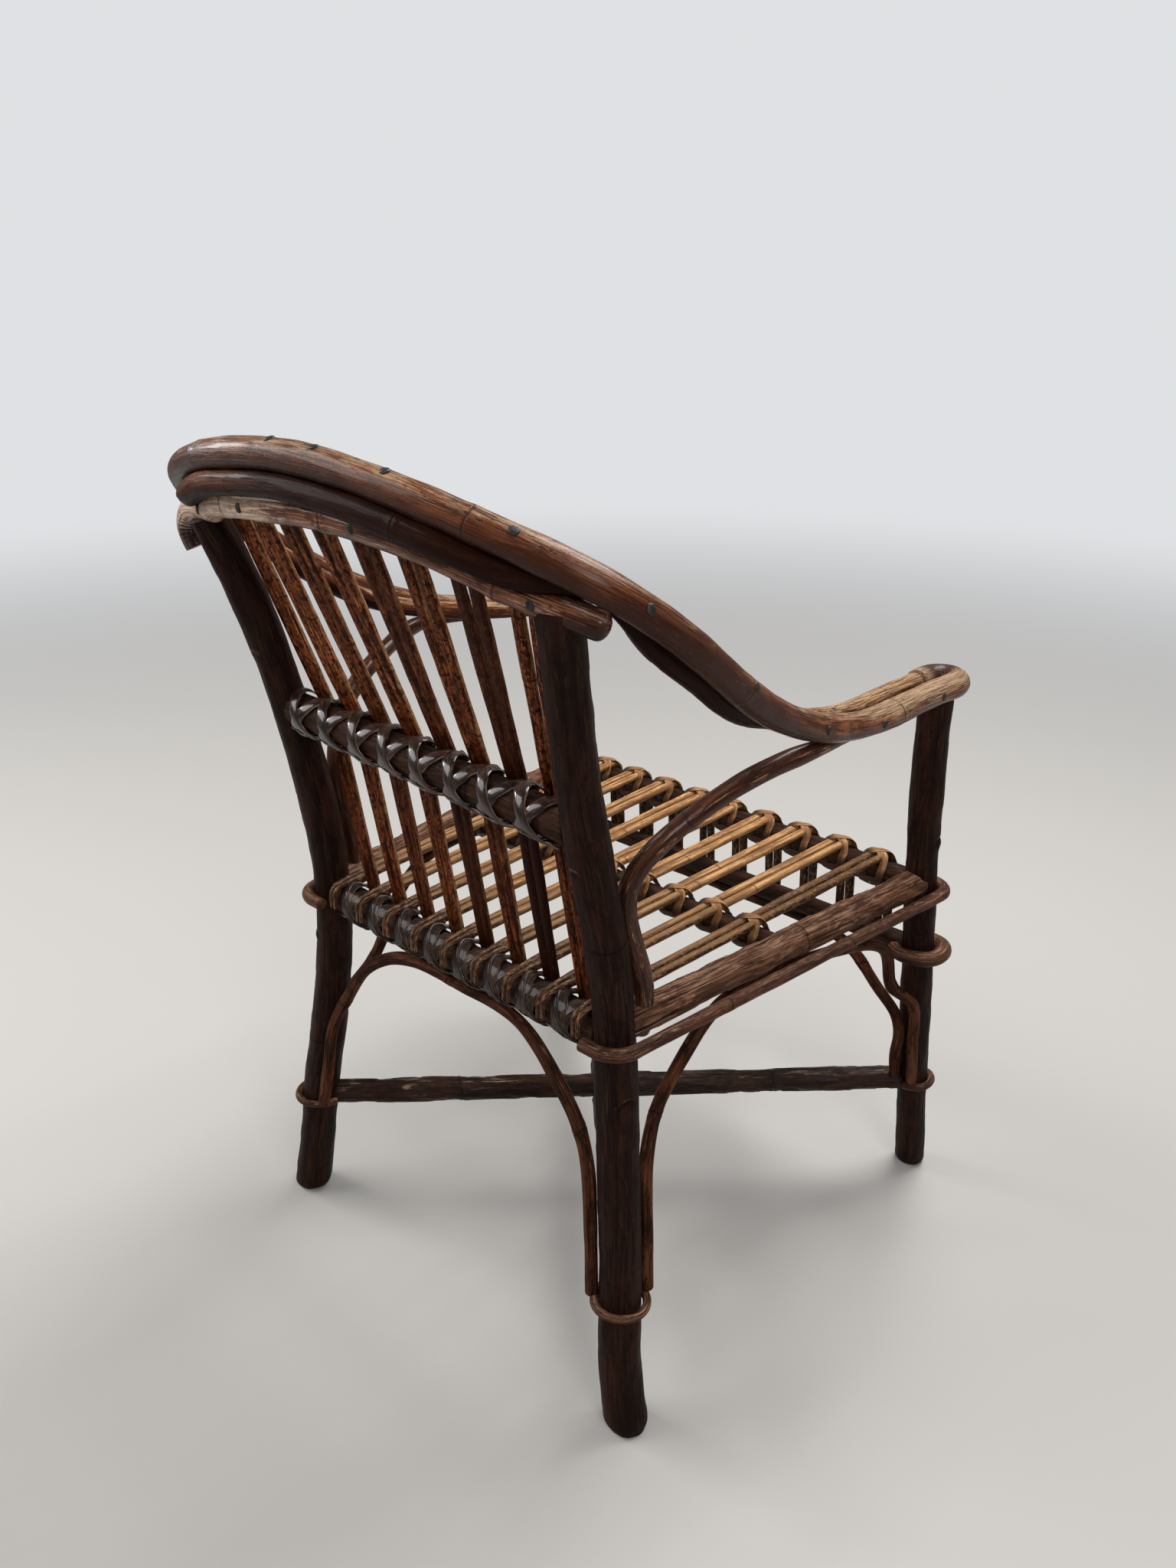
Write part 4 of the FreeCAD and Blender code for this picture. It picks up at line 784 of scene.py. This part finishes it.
frontArch = [
    (-151.4, -165.8, 89.2), (-151.2, -163.3, 106.8), (-153.8, -159.9, 125.9), (-149.7, -158.8, 141.8),
    (-135.2, -161.2, 152.8), (-121.0, -163.5, 164.5), (-107.0, -165.2, 174.8), (-90.4, -166.4, 180.5),
    (-72.0, -167.1, 182.7), (-53.6, -167.4, 183.4), (-35.6, -167.4, 183.4), (-17.7, -167.3, 183.1),
    (0.0, -167.2, 182.9)]
arches = {  # the back and front arches are given by their right halves
    "sideArchRight": (51, "side_arch_right", sideArch),
    "sideArchLeft": (54, "side_arch_left", mirrored(sideArch)),
    "backArch": (57, "back_arch", backArch + mirrored(backArch[-2::-1])),
    "frontArch": (61, "front_arch", frontArch + mirrored(frontArch[-2::-1])),
}
archRadius = 4.0
for key, (seed, nodeName, line) in arches.items():
    strand = newStrand()
    addCane(strand, smoothLine(line), archRadius, seed, sides=24, knots=(0.22, 0.52, 0.8), swell=0.35,
            ridge=0.26, waver=0.03, ends=roundEnds, wearAndLight=facing(upward, -0.3, 0.9, 0.3, 0.15))
    makePiece(key, strand, "archCane", "arch_cane", nodeName)

rails = {
    "lumbarRail": {"ends": [(-112, 131.8, 369.8), (112, 134.2, 379.2)], "radius": 10, "seed": 71,
                   "node": "lumbar_rail"},
    "seatBackRail": {"ends": [(-115, 111.7, 244), (115, 111.7, 244)], "radius": 10, "seed": 74,
                     "node": "seat_back_rail"},
    "seatFrontRail": {"ends": [(-149, -159.4, 245), (149, -159.4, 245)], "radius": 9, "seed": 77,
                      "node": "seat_front_rail"},
    "apronRail": {"ends": [(-150, -165.6, 195), (150, -165.6, 195)], "radius": 7, "seed": 80,
                  "node": "apron_rail"},
    "seatMiddleRail": {"ends": [(-133, -23.4, 247), (133, -23.4, 247)], "radius": 7, "seed": 83,
                       "node": "seat_middle_rail"},
}
for key, rail in rails.items():
    strand = newStrand()
    addCane(strand, smoothLine(rail["ends"]), rail["radius"], rail["seed"], sides=34, knots=(0.3, 0.7),
            swell=0.3, ridge=0.22, wearAndLight=facing(upward, 0.2, 1.0, 0.3))
    makePiece(key, strand, "railCane", "rail_cane", rail["node"])

sideRail = {"ends": [(124.05, 107, 249.4), (156.35, -153, 249.4)], "radius": 9.0}
for key, seed, ends in (("Right", 91, mirrored(sideRail["ends"])), ("Left", 95, sideRail["ends"])):
    strand = newStrand()
    addCane(strand, smoothLine(ends), sideRail["radius"], seed, sides=44, step=1.6, knots=(0.55,),
            swell=0.3, ridge=0.6, bark=0.5, waver=0.02, wearAndLight=facing(upward, -0.1, 0.9, 0.45))
    makePiece("sideRail" + key, strand, "sideRailCane", "side_rail_cane", "side_rail_" + key.lower())

stretchers = {"stretcherUpper": ([(134, 115.7, 81), (-151.5, -174.5, 81)], 101, "stretcher_upper"),
              "stretcherLower": ([(-135.5, 117.3, 64.8), (151.5, -177, 64.8)], 104, "stretcher_lower")}
stretcherRadius = 8.0
for key, (ends, seed, nodeName) in stretchers.items():
    strand = newStrand()
    addCane(strand, smoothLine(ends), stretcherRadius, seed, sides=40, step=1.6, knots=(0.22, 0.48, 0.77),
            swell=0.6, ridge=0.3, waver=0.02, bark=0.6, wearAndLight=facing(upward, 0.2, 1.0, 0.35))
    makePiece(key, strand, "stretcherCane", "stretcher_cane", nodeName)
print("braces, arches and rails made")


# ties and rings lie open where a stretcher or a rail comes through
def ringLine(centre, radius, way, opening, count=90):
    face, half = math.atan2(way[1], way[0]), math.asin(min(0.95, opening))
    turn = np.linspace(face + half, face + 2 * math.pi - half, count)
    return np.stack([centre[0] + radius * np.cos(turn), centre[1] + radius * np.sin(turn),
                     np.full(count, centre[2])], 1)


rings = {  # centre, radius, way of the opening, its size, radius of the cane, node
    "legTieBackRight": ((-141.6, 123.4, 81), 15.1, (299.6, -304.5), 0.03, 2.5, "leg_tie_back_right"),
    "legTieBackLeft": ((141.6, 123.4, 81), 15.1, (-299.6, -304.5), 0.667, 2.5, "leg_tie_back_left"),
    "legTieFrontRight": ((-158, -181.1, 81), 13.4, (299.6, 304.5), 0.77, 2.5, "leg_tie_front_right"),
    "legTieFrontLeft": ((158, -181.1, 81), 13.4, (-299.6, 304.5), 0.04, 2.5, "leg_tie_front_left"),
    "frontRingRight": ((-157.6, -165.6, 195), 16.4, (1, 0), 0.68, 5.5, "front_ring_right"),
    "frontRingLeft": ((157.6, -165.6, 195), 16.4, (-1, 0), 0.68, 5.5, "front_ring_left"),
}
for count, (key, (centre, radius, way, opening, thick, nodeName)) in enumerate(rings.items()):
    strand = newStrand()
    line = ringLine(centre, radius, way, opening)
    line[:, 2] += wander(120 + count, np.linspace(0, 90, 90), [(90, 0.5), (37, 0.25)])
    addCane(strand, line, thick, 111 + count, sides=20, step=1.4, ridge=0.12, waver=0.05, ends=roundEnds,
            wearAndLight=facing(upward, -0.2, 0.9, 0.45, 0.1))
    makePiece(key, strand, "tieCane", "tie_cane", nodeName)

# one binding on each side hugs a back post and a front post
binding = {"posts": [((123.8, 111.7), 11.64), ((157.0, -159.6), 10.5)], "clear": 4.4, "radius": 4.0,
           "height": 243.0, "tail": 9}
for key, side in (("Right", -1), ("Left", 1)):
    rear, front = [spot for spot, grip in binding["posts"]]
    rearGrip, frontGrip = [grip + binding["clear"] for spot, grip in binding["posts"]]
    run = np.subtract(front, rear)
    swing = math.atan2(run[1], run[0]) + math.acos((rearGrip - frontGrip) / np.hypot(*run))
    line = []
    for spot, grip, begin, end in ((rear, rearGrip, math.radians(90), swing),
                                   (front, frontGrip, swing, math.radians(-90))):
        for turn in np.linspace(begin, end, 24):
            line.append((side * (spot[0] + math.cos(turn) * grip), spot[1] + math.sin(turn) * grip,
                         binding["height"]))
    tails = [(x - side * binding["tail"], y, z) for x, y, z in (line[0], line[-1])]
    strand = newStrand()
    addCane(strand, evenly([tails[0]] + line + [tails[1]]), binding["radius"], 131 + side, sides=22,
            knots=(0.3, 0.62), swell=0.3, ridge=0.2, waver=0.03, wearAndLight=facing(upward, -0.2, 0.9, 0.4, 0.1))
    makePiece("seatBinding" + key, strand, "tieCane", "tie_cane", "seat_binding_" + key.lower())
print("ties and bindings made")

# slats, in pairs: thick and gap are half sizes, as the widths are, and rearEnd is how far
# aside a rear end stands
slats = {"thick": 2.2, "backTop": 4.6, "backFoot": 3.0, "seatFront": 3.3, "seatBack": 2.6, "rearEnd": 1.7,
         "rearTip": 1.6, "gap": 0.4}
backSpread = {"pairs": 8, "top": 31.5, "lumbar": 26.6, "foot": 26.6, "shift": 4.5, "bend": 60,
              "clear": 0.2, "edge": 3.75, "beforeRail": 13, "railApart": 3.7, "footApart": 2.9,
              "footY": 99.3, "footZ": 244, "above": 7, "below": 12,
              "stainAndShade": (0.1, 0.75, 0.25, 0.55, 0.1, 0.3, 0.05, 0.15),
              "broader": (0, 0, 0, 0, 0, 0.2, 0.7, 1.0)}
seatSpread = {"pairs": 9, "back": 26.6, "front": 31.0, "wider": 0.4, "bend": 11.9, "top": 256.4,
              "rearY": 124.1, "rearZ": 242.5, "startY": 120.7, "wideY": 92.0, "frontY": -170.8,
              "tipY": -175.0, "tipZ": 188.0,
              "frontStain": (0.8, 0.15, 0.06, 0.04, 0.0, 0.05, 0.1, 0.05, 0.15),
              "rearStain": (0.6, 0.55, 0.5, 0.35, 0.2, 0.2, 0.25, 0.15, 0.3)}
lumbar = {"from": -119.9, "length": 240.0, "y": 131.8, "back": 2.4, "z": 369.5, "rise": 10}
seatRear, seatFront = np.array([0, 111.7, 244.0]), np.array([0, -159.4, 245.0])  # middles of the rails
seatMiddle = np.array([0, -23.4, 247.0])


def placesOf(spread):
    return [index - (spread["pairs"] - 1) / 2 for index in range(spread["pairs"])]


def onCrest(x):
    order = np.argsort(crestLine[:, 0])
    at, ahead = [np.array([np.interp(spot, crestLine[order, 0], crestLine[order, k]) for k in range(3)])
                 for spot in (x, x + 2)]
    return at, unit(ahead - at)


def lumbarAt(x):
    t = (x - lumbar["from"]) / lumbar["length"]
    return np.array([x, lumbar["y"] + lumbar["back"] * t, lumbar["z"] + lumbar["rise"] * t])


# painted highlight: both side edges of each slat are paled as glowing rims
def paintedEdgeHighlight(grid, normal, share, turn):
    return np.abs(np.cos(turn)) ** 7 + 0 * share


def seatHalf(t):  # half a seat slat's width, from the rear end to the front
    tip, rear, front = slats["rearTip"], slats["seatBack"], slats["seatFront"]
    widen = float(ease(t, 0.05, 0.11))
    return tip + (rear - tip) * widen + (front - rear) * t * widen


for index, place in enumerate(placesOf(backSpread)):
    strand = newStrand()
    broad = slats["backTop"] + backSpread["broader"][index]
    for hand in (-1, 1):
        x = place * backSpread["top"] + hand * (broad + slats["gap"])
        edge, along = onCrest(x + math.copysign(backSpread["edge"], x))
        forwards = (crest["radius"] + slats["thick"] + backSpread["clear"]) / along[0]
        head = np.array([x, edge[1] - forwards, onCrest(x)[0][2]])
        rail = lumbarAt(place * backSpread["lumbar"] + backSpread["shift"] + hand * backSpread["railApart"])
        rail = rail - (0, backSpread["beforeRail"], 0)
        footX = place * backSpread["foot"] + hand * backSpread["footApart"]
        low = np.array([footX, backSpread["footY"], backSpread["footZ"]])
        tip, tail = head + unit(head - rail) * backSpread["above"], low - (0, 0, backSpread["below"])
        addCane(strand, bentLine([tip, rail, low, tail], backSpread["bend"]),
                lambda t: broad + (slats["backFoot"] - broad) * t, 200 + index * 2 + hand, sides=16,
                step=3.0, knots=(0.36 + 0.04 * place * hand,), swell=0.15, ridge=0.14, waver=0.03,
                across=(1, 0, 0), depth=slats["thick"], wearAndLight=paintedEdgeHighlight, sway=0.12,
                stainAndShade=lambda g, n, t, a: 0.4 * ease(t, 0.88, 0.98) + 0.25 * ease(t, 0.42, 0.6)
                + backSpread["stainAndShade"][index] + 0 * a)
    number = index + 1
    makePiece("backSlatPair%d" % number, strand, "backSlat", "back_slat", "back_slat_pair_%d" % number)

for index, place in enumerate(placesOf(seatSpread)):
    strand = newStrand()
    ahead, behind = seatSpread["frontStain"][index], seatSpread["rearStain"][index]

    def seatStain(grid, normal, share, turn):
        y = grid[..., 1]
        ends = 0.95 * ease(-y, 162, 172) + 0.9 * ease(y, 96, 108) + 0.4 * ease(y, 30, 100)
        edges = 0.4 * ease(np.abs(np.cos(turn)), 0.72, 0.98)
        return ends + ahead + (behind - ahead) * ease(y, -60, 0) + edges

    for hand in (-1, 1):
        back = place * seatSpread["back"] + hand * slats["rearEnd"]
        wide = place * (seatSpread["back"] + seatSpread["wider"]) + hand * (slats["seatBack"] + slats["gap"])
        front = place * seatSpread["front"] + hand * (slats["seatFront"] + slats["gap"])
        rearY, top = seatSpread["rearY"], seatSpread["top"]
        corners = [(back, rearY, seatSpread["rearZ"]), (back, rearY, top), (wide, seatSpread["wideY"], top),
                   (front, seatSpread["frontY"], top), (front, seatSpread["tipY"], seatSpread["tipZ"])]
        addCane(strand, bentLine(corners, seatSpread["bend"]), seatHalf, 240 + index * 2 + hand, sides=16,
                step=2.6, knots=(0.5 + 0.05 * math.sin(place * 3 + hand),), swell=0.15, ridge=0.16,
                waver=0.03, across=(1, 0, 0), wearAndLight=facing(upward, 0.5, 0.95, 0.4), sway=0.1,
                stainAndShade=seatStain,
                depth=lambda t: slats["thick"] + 0.3 - 1.3 * float(ease(-t, -0.09, -0.03)))
    number = index + 1
    makePiece("seatSlatPair%d" % number, strand, "seatSlat", "seat_slat", "seat_slat_pair_%d" % number)
print("slats made")


# lashings: flat peel wound crosswise round a rail and a pair of slats
def addWrap(strand, centre, along, toward, radius, half, peel, seed):
    along, toward = unit(along), unit(toward)
    beside = np.cross(along, toward)
    spread = half + peel["width"] * peel["lean"]
    rng = np.random.default_rng(seed)

    def turnOf(tilt, lift):
        # round the back of the rail, up its sides, then over the slats
        ring = radius + lift
        front = radius + 2 * slats["thick"] + 0.45 + lift
        edge = tilt * spread

        def onRail(sideways, size, degrees, hand=1):
            angle = math.radians(degrees)
            return sideways, hand * size * math.sin(angle), -size * math.cos(angle)

        rows = [onRail(edge * d / 90, ring, d) for d in range(-90, 91, 10)]
        rows += [onRail(edge, ring + 0.2, d) for d in (108, 126, 140)]
        over = [(edge * 0.84, ring * 0.46, front - 1.3), (edge * 0.6, ring * 0.33, front - 0.1),
                (0, 0, front + 0.35)]
        rows += over + [(-u, -m, n) for u, m, n in over[-2::-1]]
        rows += [onRail(-edge, ring + 0.2, d, -1) for d in (140, 126, 108)]
        return rows + [(-edge, -ring, 0)]

    first = turnOf(1, 0.25)
    second = turnOf(-1, 0.25 + peel["thick"])
    low = radius + 0.6
    link = [(-spread * 0.9, -low, -1.5), (0, -low - peel["thick"] * 0.8, -3.0), (spread * 0.9, -low, -3.0)]
    tail = [(spread * 0.9, -low, 0.0), (spread * 0.5, -low * 0.9, -low * 0.45)]
    rows = np.array(first + link + second[1:] + tail)
    rows[:, 0] += rng.uniform(-0.5, 0.5) + wander(seed, np.arange(len(rows)), [(19, 0.35)])
    line = centre + rows[:, :1] * along + rows[:, 1:2] * beside + rows[:, 2:] * toward
    line = smoothLine(line, 1.3)
    offset = line - centre
    rise, aside, beyond = offset @ toward, offset @ along, offset @ beside
    out = beyond[:, None] * beside + (rise - 1.5)[:, None] * toward
    # painted shade: the wrap is darkened on its underside and at one lower corner, as much as its peel's
    # shade share
    corner = ease(aside, -1, 2) * ease(-beyond, 0.1 * radius, 0.5 * radius)
    low = np.maximum(ease(-rise, -0.8 * radius, 0), corner)
    addStrip(strand, line, out, seed, peel["width"], peel["thick"], peel["crown"],
             peel["shade"] * low[:, None], peel["topWearAndLight"])


darkPeel = {"width": 7.8, "thick": 0.7, "crown": 1.45, "lean": 0.5, "shade": 0.0, "topWearAndLight": 0.15}
seatBackPeel = {"width": 11.0, "thick": 0.5, "crown": 0.7, "lean": 0.22, "shade": 0.0, "topWearAndLight": 0.1}
seatBackEdge = {"width": 2.4, "thick": 0.7, "crown": 0.6, "lean": 2.0, "shade": 0.0, "topWearAndLight": 0.55}
palePeel = {"width": 5.6, "thick": 0.6, "crown": 0.2, "lean": 0.12, "shade": 0.95, "topWearAndLight": 0.0}
runPeel = {"width": 3.0, "thick": 1.0, "crown": 0.4, "step": 1.5}


def peelLine(strand, start, end, out, seed):
    # the run of peel along a rail from wrap to wrap
    line = evenly([start, end], runPeel["step"])
    t = np.arange(len(line)) * runPeel["step"]
    out = unit(out)
    line = line + np.outer(0.5 + wander(seed, t, [(26.6, 0.5), (11, 0.2)]), out)
    line[:, 2] += wander(seed + 1, t, [(26.6, 0.7), (53, 0.5)])
    addStrip(strand, line, np.broadcast_to(out, line.shape), seed, runPeel["width"], runPeel["thick"],
             runPeel["crown"])


across, toRight, forward = (1, 0, 0), (-1, 0, 0), (0, -1, 0)
backPlaces, seatPlaces = placesOf(backSpread), placesOf(seatSpread)
lumbarAlong = unit(lumbarAt(1) - lumbarAt(0))
strand = newStrand()
for index, place in enumerate(backPlaces):
    spot = lumbarAt(place * backSpread["lumbar"] + backSpread["shift"])
    addWrap(strand, spot, -lumbarAlong, forward, 10.0, 7.4, darkPeel, 300 + index)
below = (0, 5.5, -9.6)
peelLine(strand, lumbarAt(-108) + below, lumbarAt(112) + below, (0, 0.5, -0.85), 331)
makePiece("lumbarLashing", strand, "darkPeel", "dark_peel", "lumbar_lashing")

strand = newStrand()
for peel, shift, radius, seed in ((seatBackPeel, 0.0, 10.0, 340), (seatBackEdge, -1.0, 10.7, 600)):
    for index, place in enumerate(backPlaces):
        spot = seatRear + (place * backSpread["foot"] + shift, 0, 0)
        addWrap(strand, spot, toRight, forward, radius, 5.8, peel, seed + index)
peelLine(strand, np.array([-112, 116.5, 234.6]), np.array([112, 116.5, 234.6]), (0, 0.45, -0.9), 361)
makePiece("seatBackLashing", strand, "dullPeel", "dark_peel", "seat_back_lashing")

startY = seatSpread["startY"]
middleShare = (startY - seatMiddle[1]) / (startY - seatSpread["frontY"])  # how far forward the rail lies
middleStep = seatSpread["back"] + (seatSpread["front"] - seatSpread["back"]) * middleShare
for key, rail, gap, radius, half, seed, nodeName in (
        ("seatMiddleLashing", seatMiddle, middleStep, 7.0, 6.0, 370, "seat_middle_lashing"),
        ("seatFrontLashing", seatFront, seatSpread["front"], 9.0, 6.6, 390, "seat_front_lashing")):
    strand = newStrand()
    for index, place in enumerate(seatPlaces):
        addWrap(strand, rail + (place * gap, 0, 0), across, upward, radius, half, palePeel, seed + index)
    makePiece(key, strand, "palePeel", "pale_peel", nodeName)
print("lashings made")

# nails with domed heads
nails = {"head": 2.5, "sunk": 0.4, "sides": 20,
         # share of the head's radius, height and wear of each ring
         "rings": [(0.7, -3.0, 0), (0.97, -1.4, 0), (1.04, -0.7, 0.1), (1.0, -0.25, 0.4), (0.86, 0.12, 0.5),
                   (0.62, 0.3, 0.3), (0.3, 0.38, 0.3), (0.1, 0.4, 0.3)],
         "hoop": [(-173.4, -126.7, 388.5), (-175, -56, 390.2), (-175.7, 4.7, 402.5), (-178.1, 76.4, 444.1),
                  (-174.5, 151.6, 494.1), (173.4, -126.7, 389.1), (175, -56.4, 397.2), (175.6, 4.7, 413.2),
                  (178, 76, 452.4), (174.1, 153, 499.6), (-129, 185.6, 525.3), (-60.5, 195.4, 543.2),
                  (-13.8, 197.9, 549.1), (20.6, 197.8, 549.9)],
         "crest": [(-128.6, 176.9, 492.1), (-33.5, 195.8, 513.7), (63, 192.6, 511), (128.6, 176.9, 500)]}


def addNail(strand, spot, out, seed):
    out = unit(out)
    side = unit(np.cross(out, (0.3, 0.2, 0.9)))
    up = np.cross(out, side)
    turn = np.arange(nails["sides"]) * fullTurn / nails["sides"]
    rng = np.random.default_rng(seed)
    rim = 1 + 0.05 * np.sin(2 * turn + rng.random() * 6) + 0.03 * np.sin(5 * turn + rng.random() * 6)
    grid = np.array([[spot + out * h + (side * math.cos(t) + up * math.sin(t)) * nails["head"] * f * w
                      for t, w in zip(turn, rim)] for f, h, worn in nails["rings"]])
    space = (grid - spot) + (0, 0, seed * 11.0)
    addGrid(strand, grid, space, np.array([ring[2] for ring in nails["rings"]])[:, None], 0.0, 0.0)


for key, spots, guide, nodeName in (("hoopNails", nails["hoop"], hoopLine, "hoop_nails"),
                                    ("crestNails", nails["crest"], crestLine, "crest_nails")):
    strand = newStrand()
    for index, spot in enumerate(np.array(spots, float)):
        near = guide[np.argmin(np.linalg.norm(guide - spot, axis=1))]
        addNail(strand, spot - unit(spot - near) * nails["sunk"], spot - near, 420 + index)
    makePiece(key, strand, "nailIron", "nail", nodeName)
print("nails made")

# stage: a pale floor that fades into the backdrop far from the chair
studio = {"floor": (0.31, 0.298, 0.282), "floorRough": 0.75, "reach": 9, "level": -0.0003,
          "fade": (0.7, 3.0), "back": (0.74, 0.755, 0.775), "sky": 0.55, "shine": 0.2}
reach, level = studio["reach"], studio["level"]
floorMesh = bpy.data.meshes.new("studioFloor")
floorMesh.from_pydata([(x * reach, y * reach, level) for x, y in ((-1, -1), (1, -1), (1, 1), (-1, 1))], [],
                      [(0, 1, 2, 3)])
floorPiece = bpy.data.objects.new("studioFloor", floorMesh)
bpy.context.scene.collection.objects.link(floorPiece)
floorLook = bpy.data.materials.new("paleFloor")
floorLook.use_nodes = True
tree = floorLook.node_tree
paint = tree.nodes["Principled BSDF"]
paint.inputs["Base Color"].default_value = (*studio["floor"], 1)
paint.inputs["Roughness"].default_value = studio["floorRough"]
glow = newNode(tree, "ShaderNodeEmission")
glow.inputs["Color"].default_value = (*studio["back"], 1)
place = newNode(tree, "ShaderNodeNewGeometry")
away = newNode(tree, "ShaderNodeVectorMath", operation="LENGTH")
fade = newNode(tree, "ShaderNodeMapRange", interpolation_type="SMOOTHSTEP")
fade.inputs["From Min"].default_value, fade.inputs["From Max"].default_value = studio["fade"]
path = newNode(tree, "ShaderNodeLightPath")
onlySeen = newNode(tree, "ShaderNodeMath", operation="MULTIPLY")
mixed = newNode(tree, "ShaderNodeMixShader")
for start, end in (
        (place.outputs["Position"], away.inputs[0]), (away.outputs["Value"], fade.inputs["Value"]),
        (fade.outputs["Result"], onlySeen.inputs[0]), (path.outputs["Is Camera Ray"], onlySeen.inputs[1]),
        (onlySeen.outputs[0], mixed.inputs[0]), (paint.outputs[0], mixed.inputs[1]),
        (glow.outputs[0], mixed.inputs[2]),
        (mixed.outputs[0], tree.nodes["Material Output"].inputs["Surface"])):
    tree.links.new(start, end)
floorMesh.materials.append(floorLook)

world = bpy.data.worlds.new("studioWorld")
bpy.context.scene.world = world
world.use_nodes = True
tree = world.node_tree
light = tree.nodes["Background"]
light.inputs["Color"].default_value = (1, 1, 1, 1)
glossy = newNode(tree, "ShaderNodeMapRange")  # mirrored sky is dimmer than the light it gives
glossy.inputs["To Min"].default_value = studio["sky"]
glossy.inputs["To Max"].default_value = studio["shine"]
wall = newNode(tree, "ShaderNodeBackground")
wall.inputs["Color"].default_value = (*studio["back"], 1)
path = newNode(tree, "ShaderNodeLightPath")
mixed = newNode(tree, "ShaderNodeMixShader")
for start, end in (
        (path.outputs["Is Glossy Ray"], glossy.inputs["Value"]),
        (glossy.outputs["Result"], light.inputs["Strength"]),
        (path.outputs["Is Camera Ray"], mixed.inputs[0]), (light.outputs[0], mixed.inputs[1]),
        (wall.outputs[0], mixed.inputs[2]),
        (mixed.outputs[0], tree.nodes["World Output"].inputs["Surface"])):
    tree.links.new(start, end)

lamps = {"keyLamp": {"at": (-0.1, -0.8, 1.7), "size": 0.9, "watts": 40},
         "fillLamp": {"at": (-1.35, 0.75, 1.25), "size": 0.7, "watts": 13},
         "sideLamp": {"at": (1.1, 0.9, 1.4), "size": 1.1, "watts": 25},
         "edgeLamp": {"at": (1.45, 0.42, 0.95), "size": 0.3, "watts": 7}}
lampsAimAt = Vector((0, 0, 0.3))
for key, lamp in lamps.items():
    data = bpy.data.lights.new(key, "AREA")
    data.energy, data.size = lamp["watts"], lamp["size"]
    holder = bpy.data.objects.new(key, data)
    bpy.context.scene.collection.objects.link(holder)
    holder.location = lamp["at"]
    holder.rotation_euler = (lampsAimAt - Vector(lamp["at"])).to_track_quat("-Z", "Y").to_euler()

shot = {"at": (-0.48771, 0.53333, 0.62108), "right": (-0.73692, -0.67595, 0.00642),
        "down": (-0.26329, 0.27826, -0.92371), "ahead": (0.6226, -0.68239, -0.38303),
        "lens": 28.304, "sensor": 36.0, "near": 0.02, "far": 50}
camera = bpy.data.cameras.new("photoCamera")
camera.sensor_width, camera.lens = shot["sensor"], shot["lens"]
camera.clip_start, camera.clip_end = shot["near"], shot["far"]
cameraPiece = bpy.data.objects.new("photoCamera", camera)
bpy.context.scene.collection.objects.link(cameraPiece)
axes = Matrix((Vector(shot["right"]), -Vector(shot["down"]), -Vector(shot["ahead"]))).transposed()
cameraPiece.matrix_world = Matrix.Translation(Vector(shot["at"])) @ axes.to_4x4()
bpy.context.scene.camera = cameraPiece
bpy.context.scene.view_settings.view_transform = "Standard"
print("stage set")
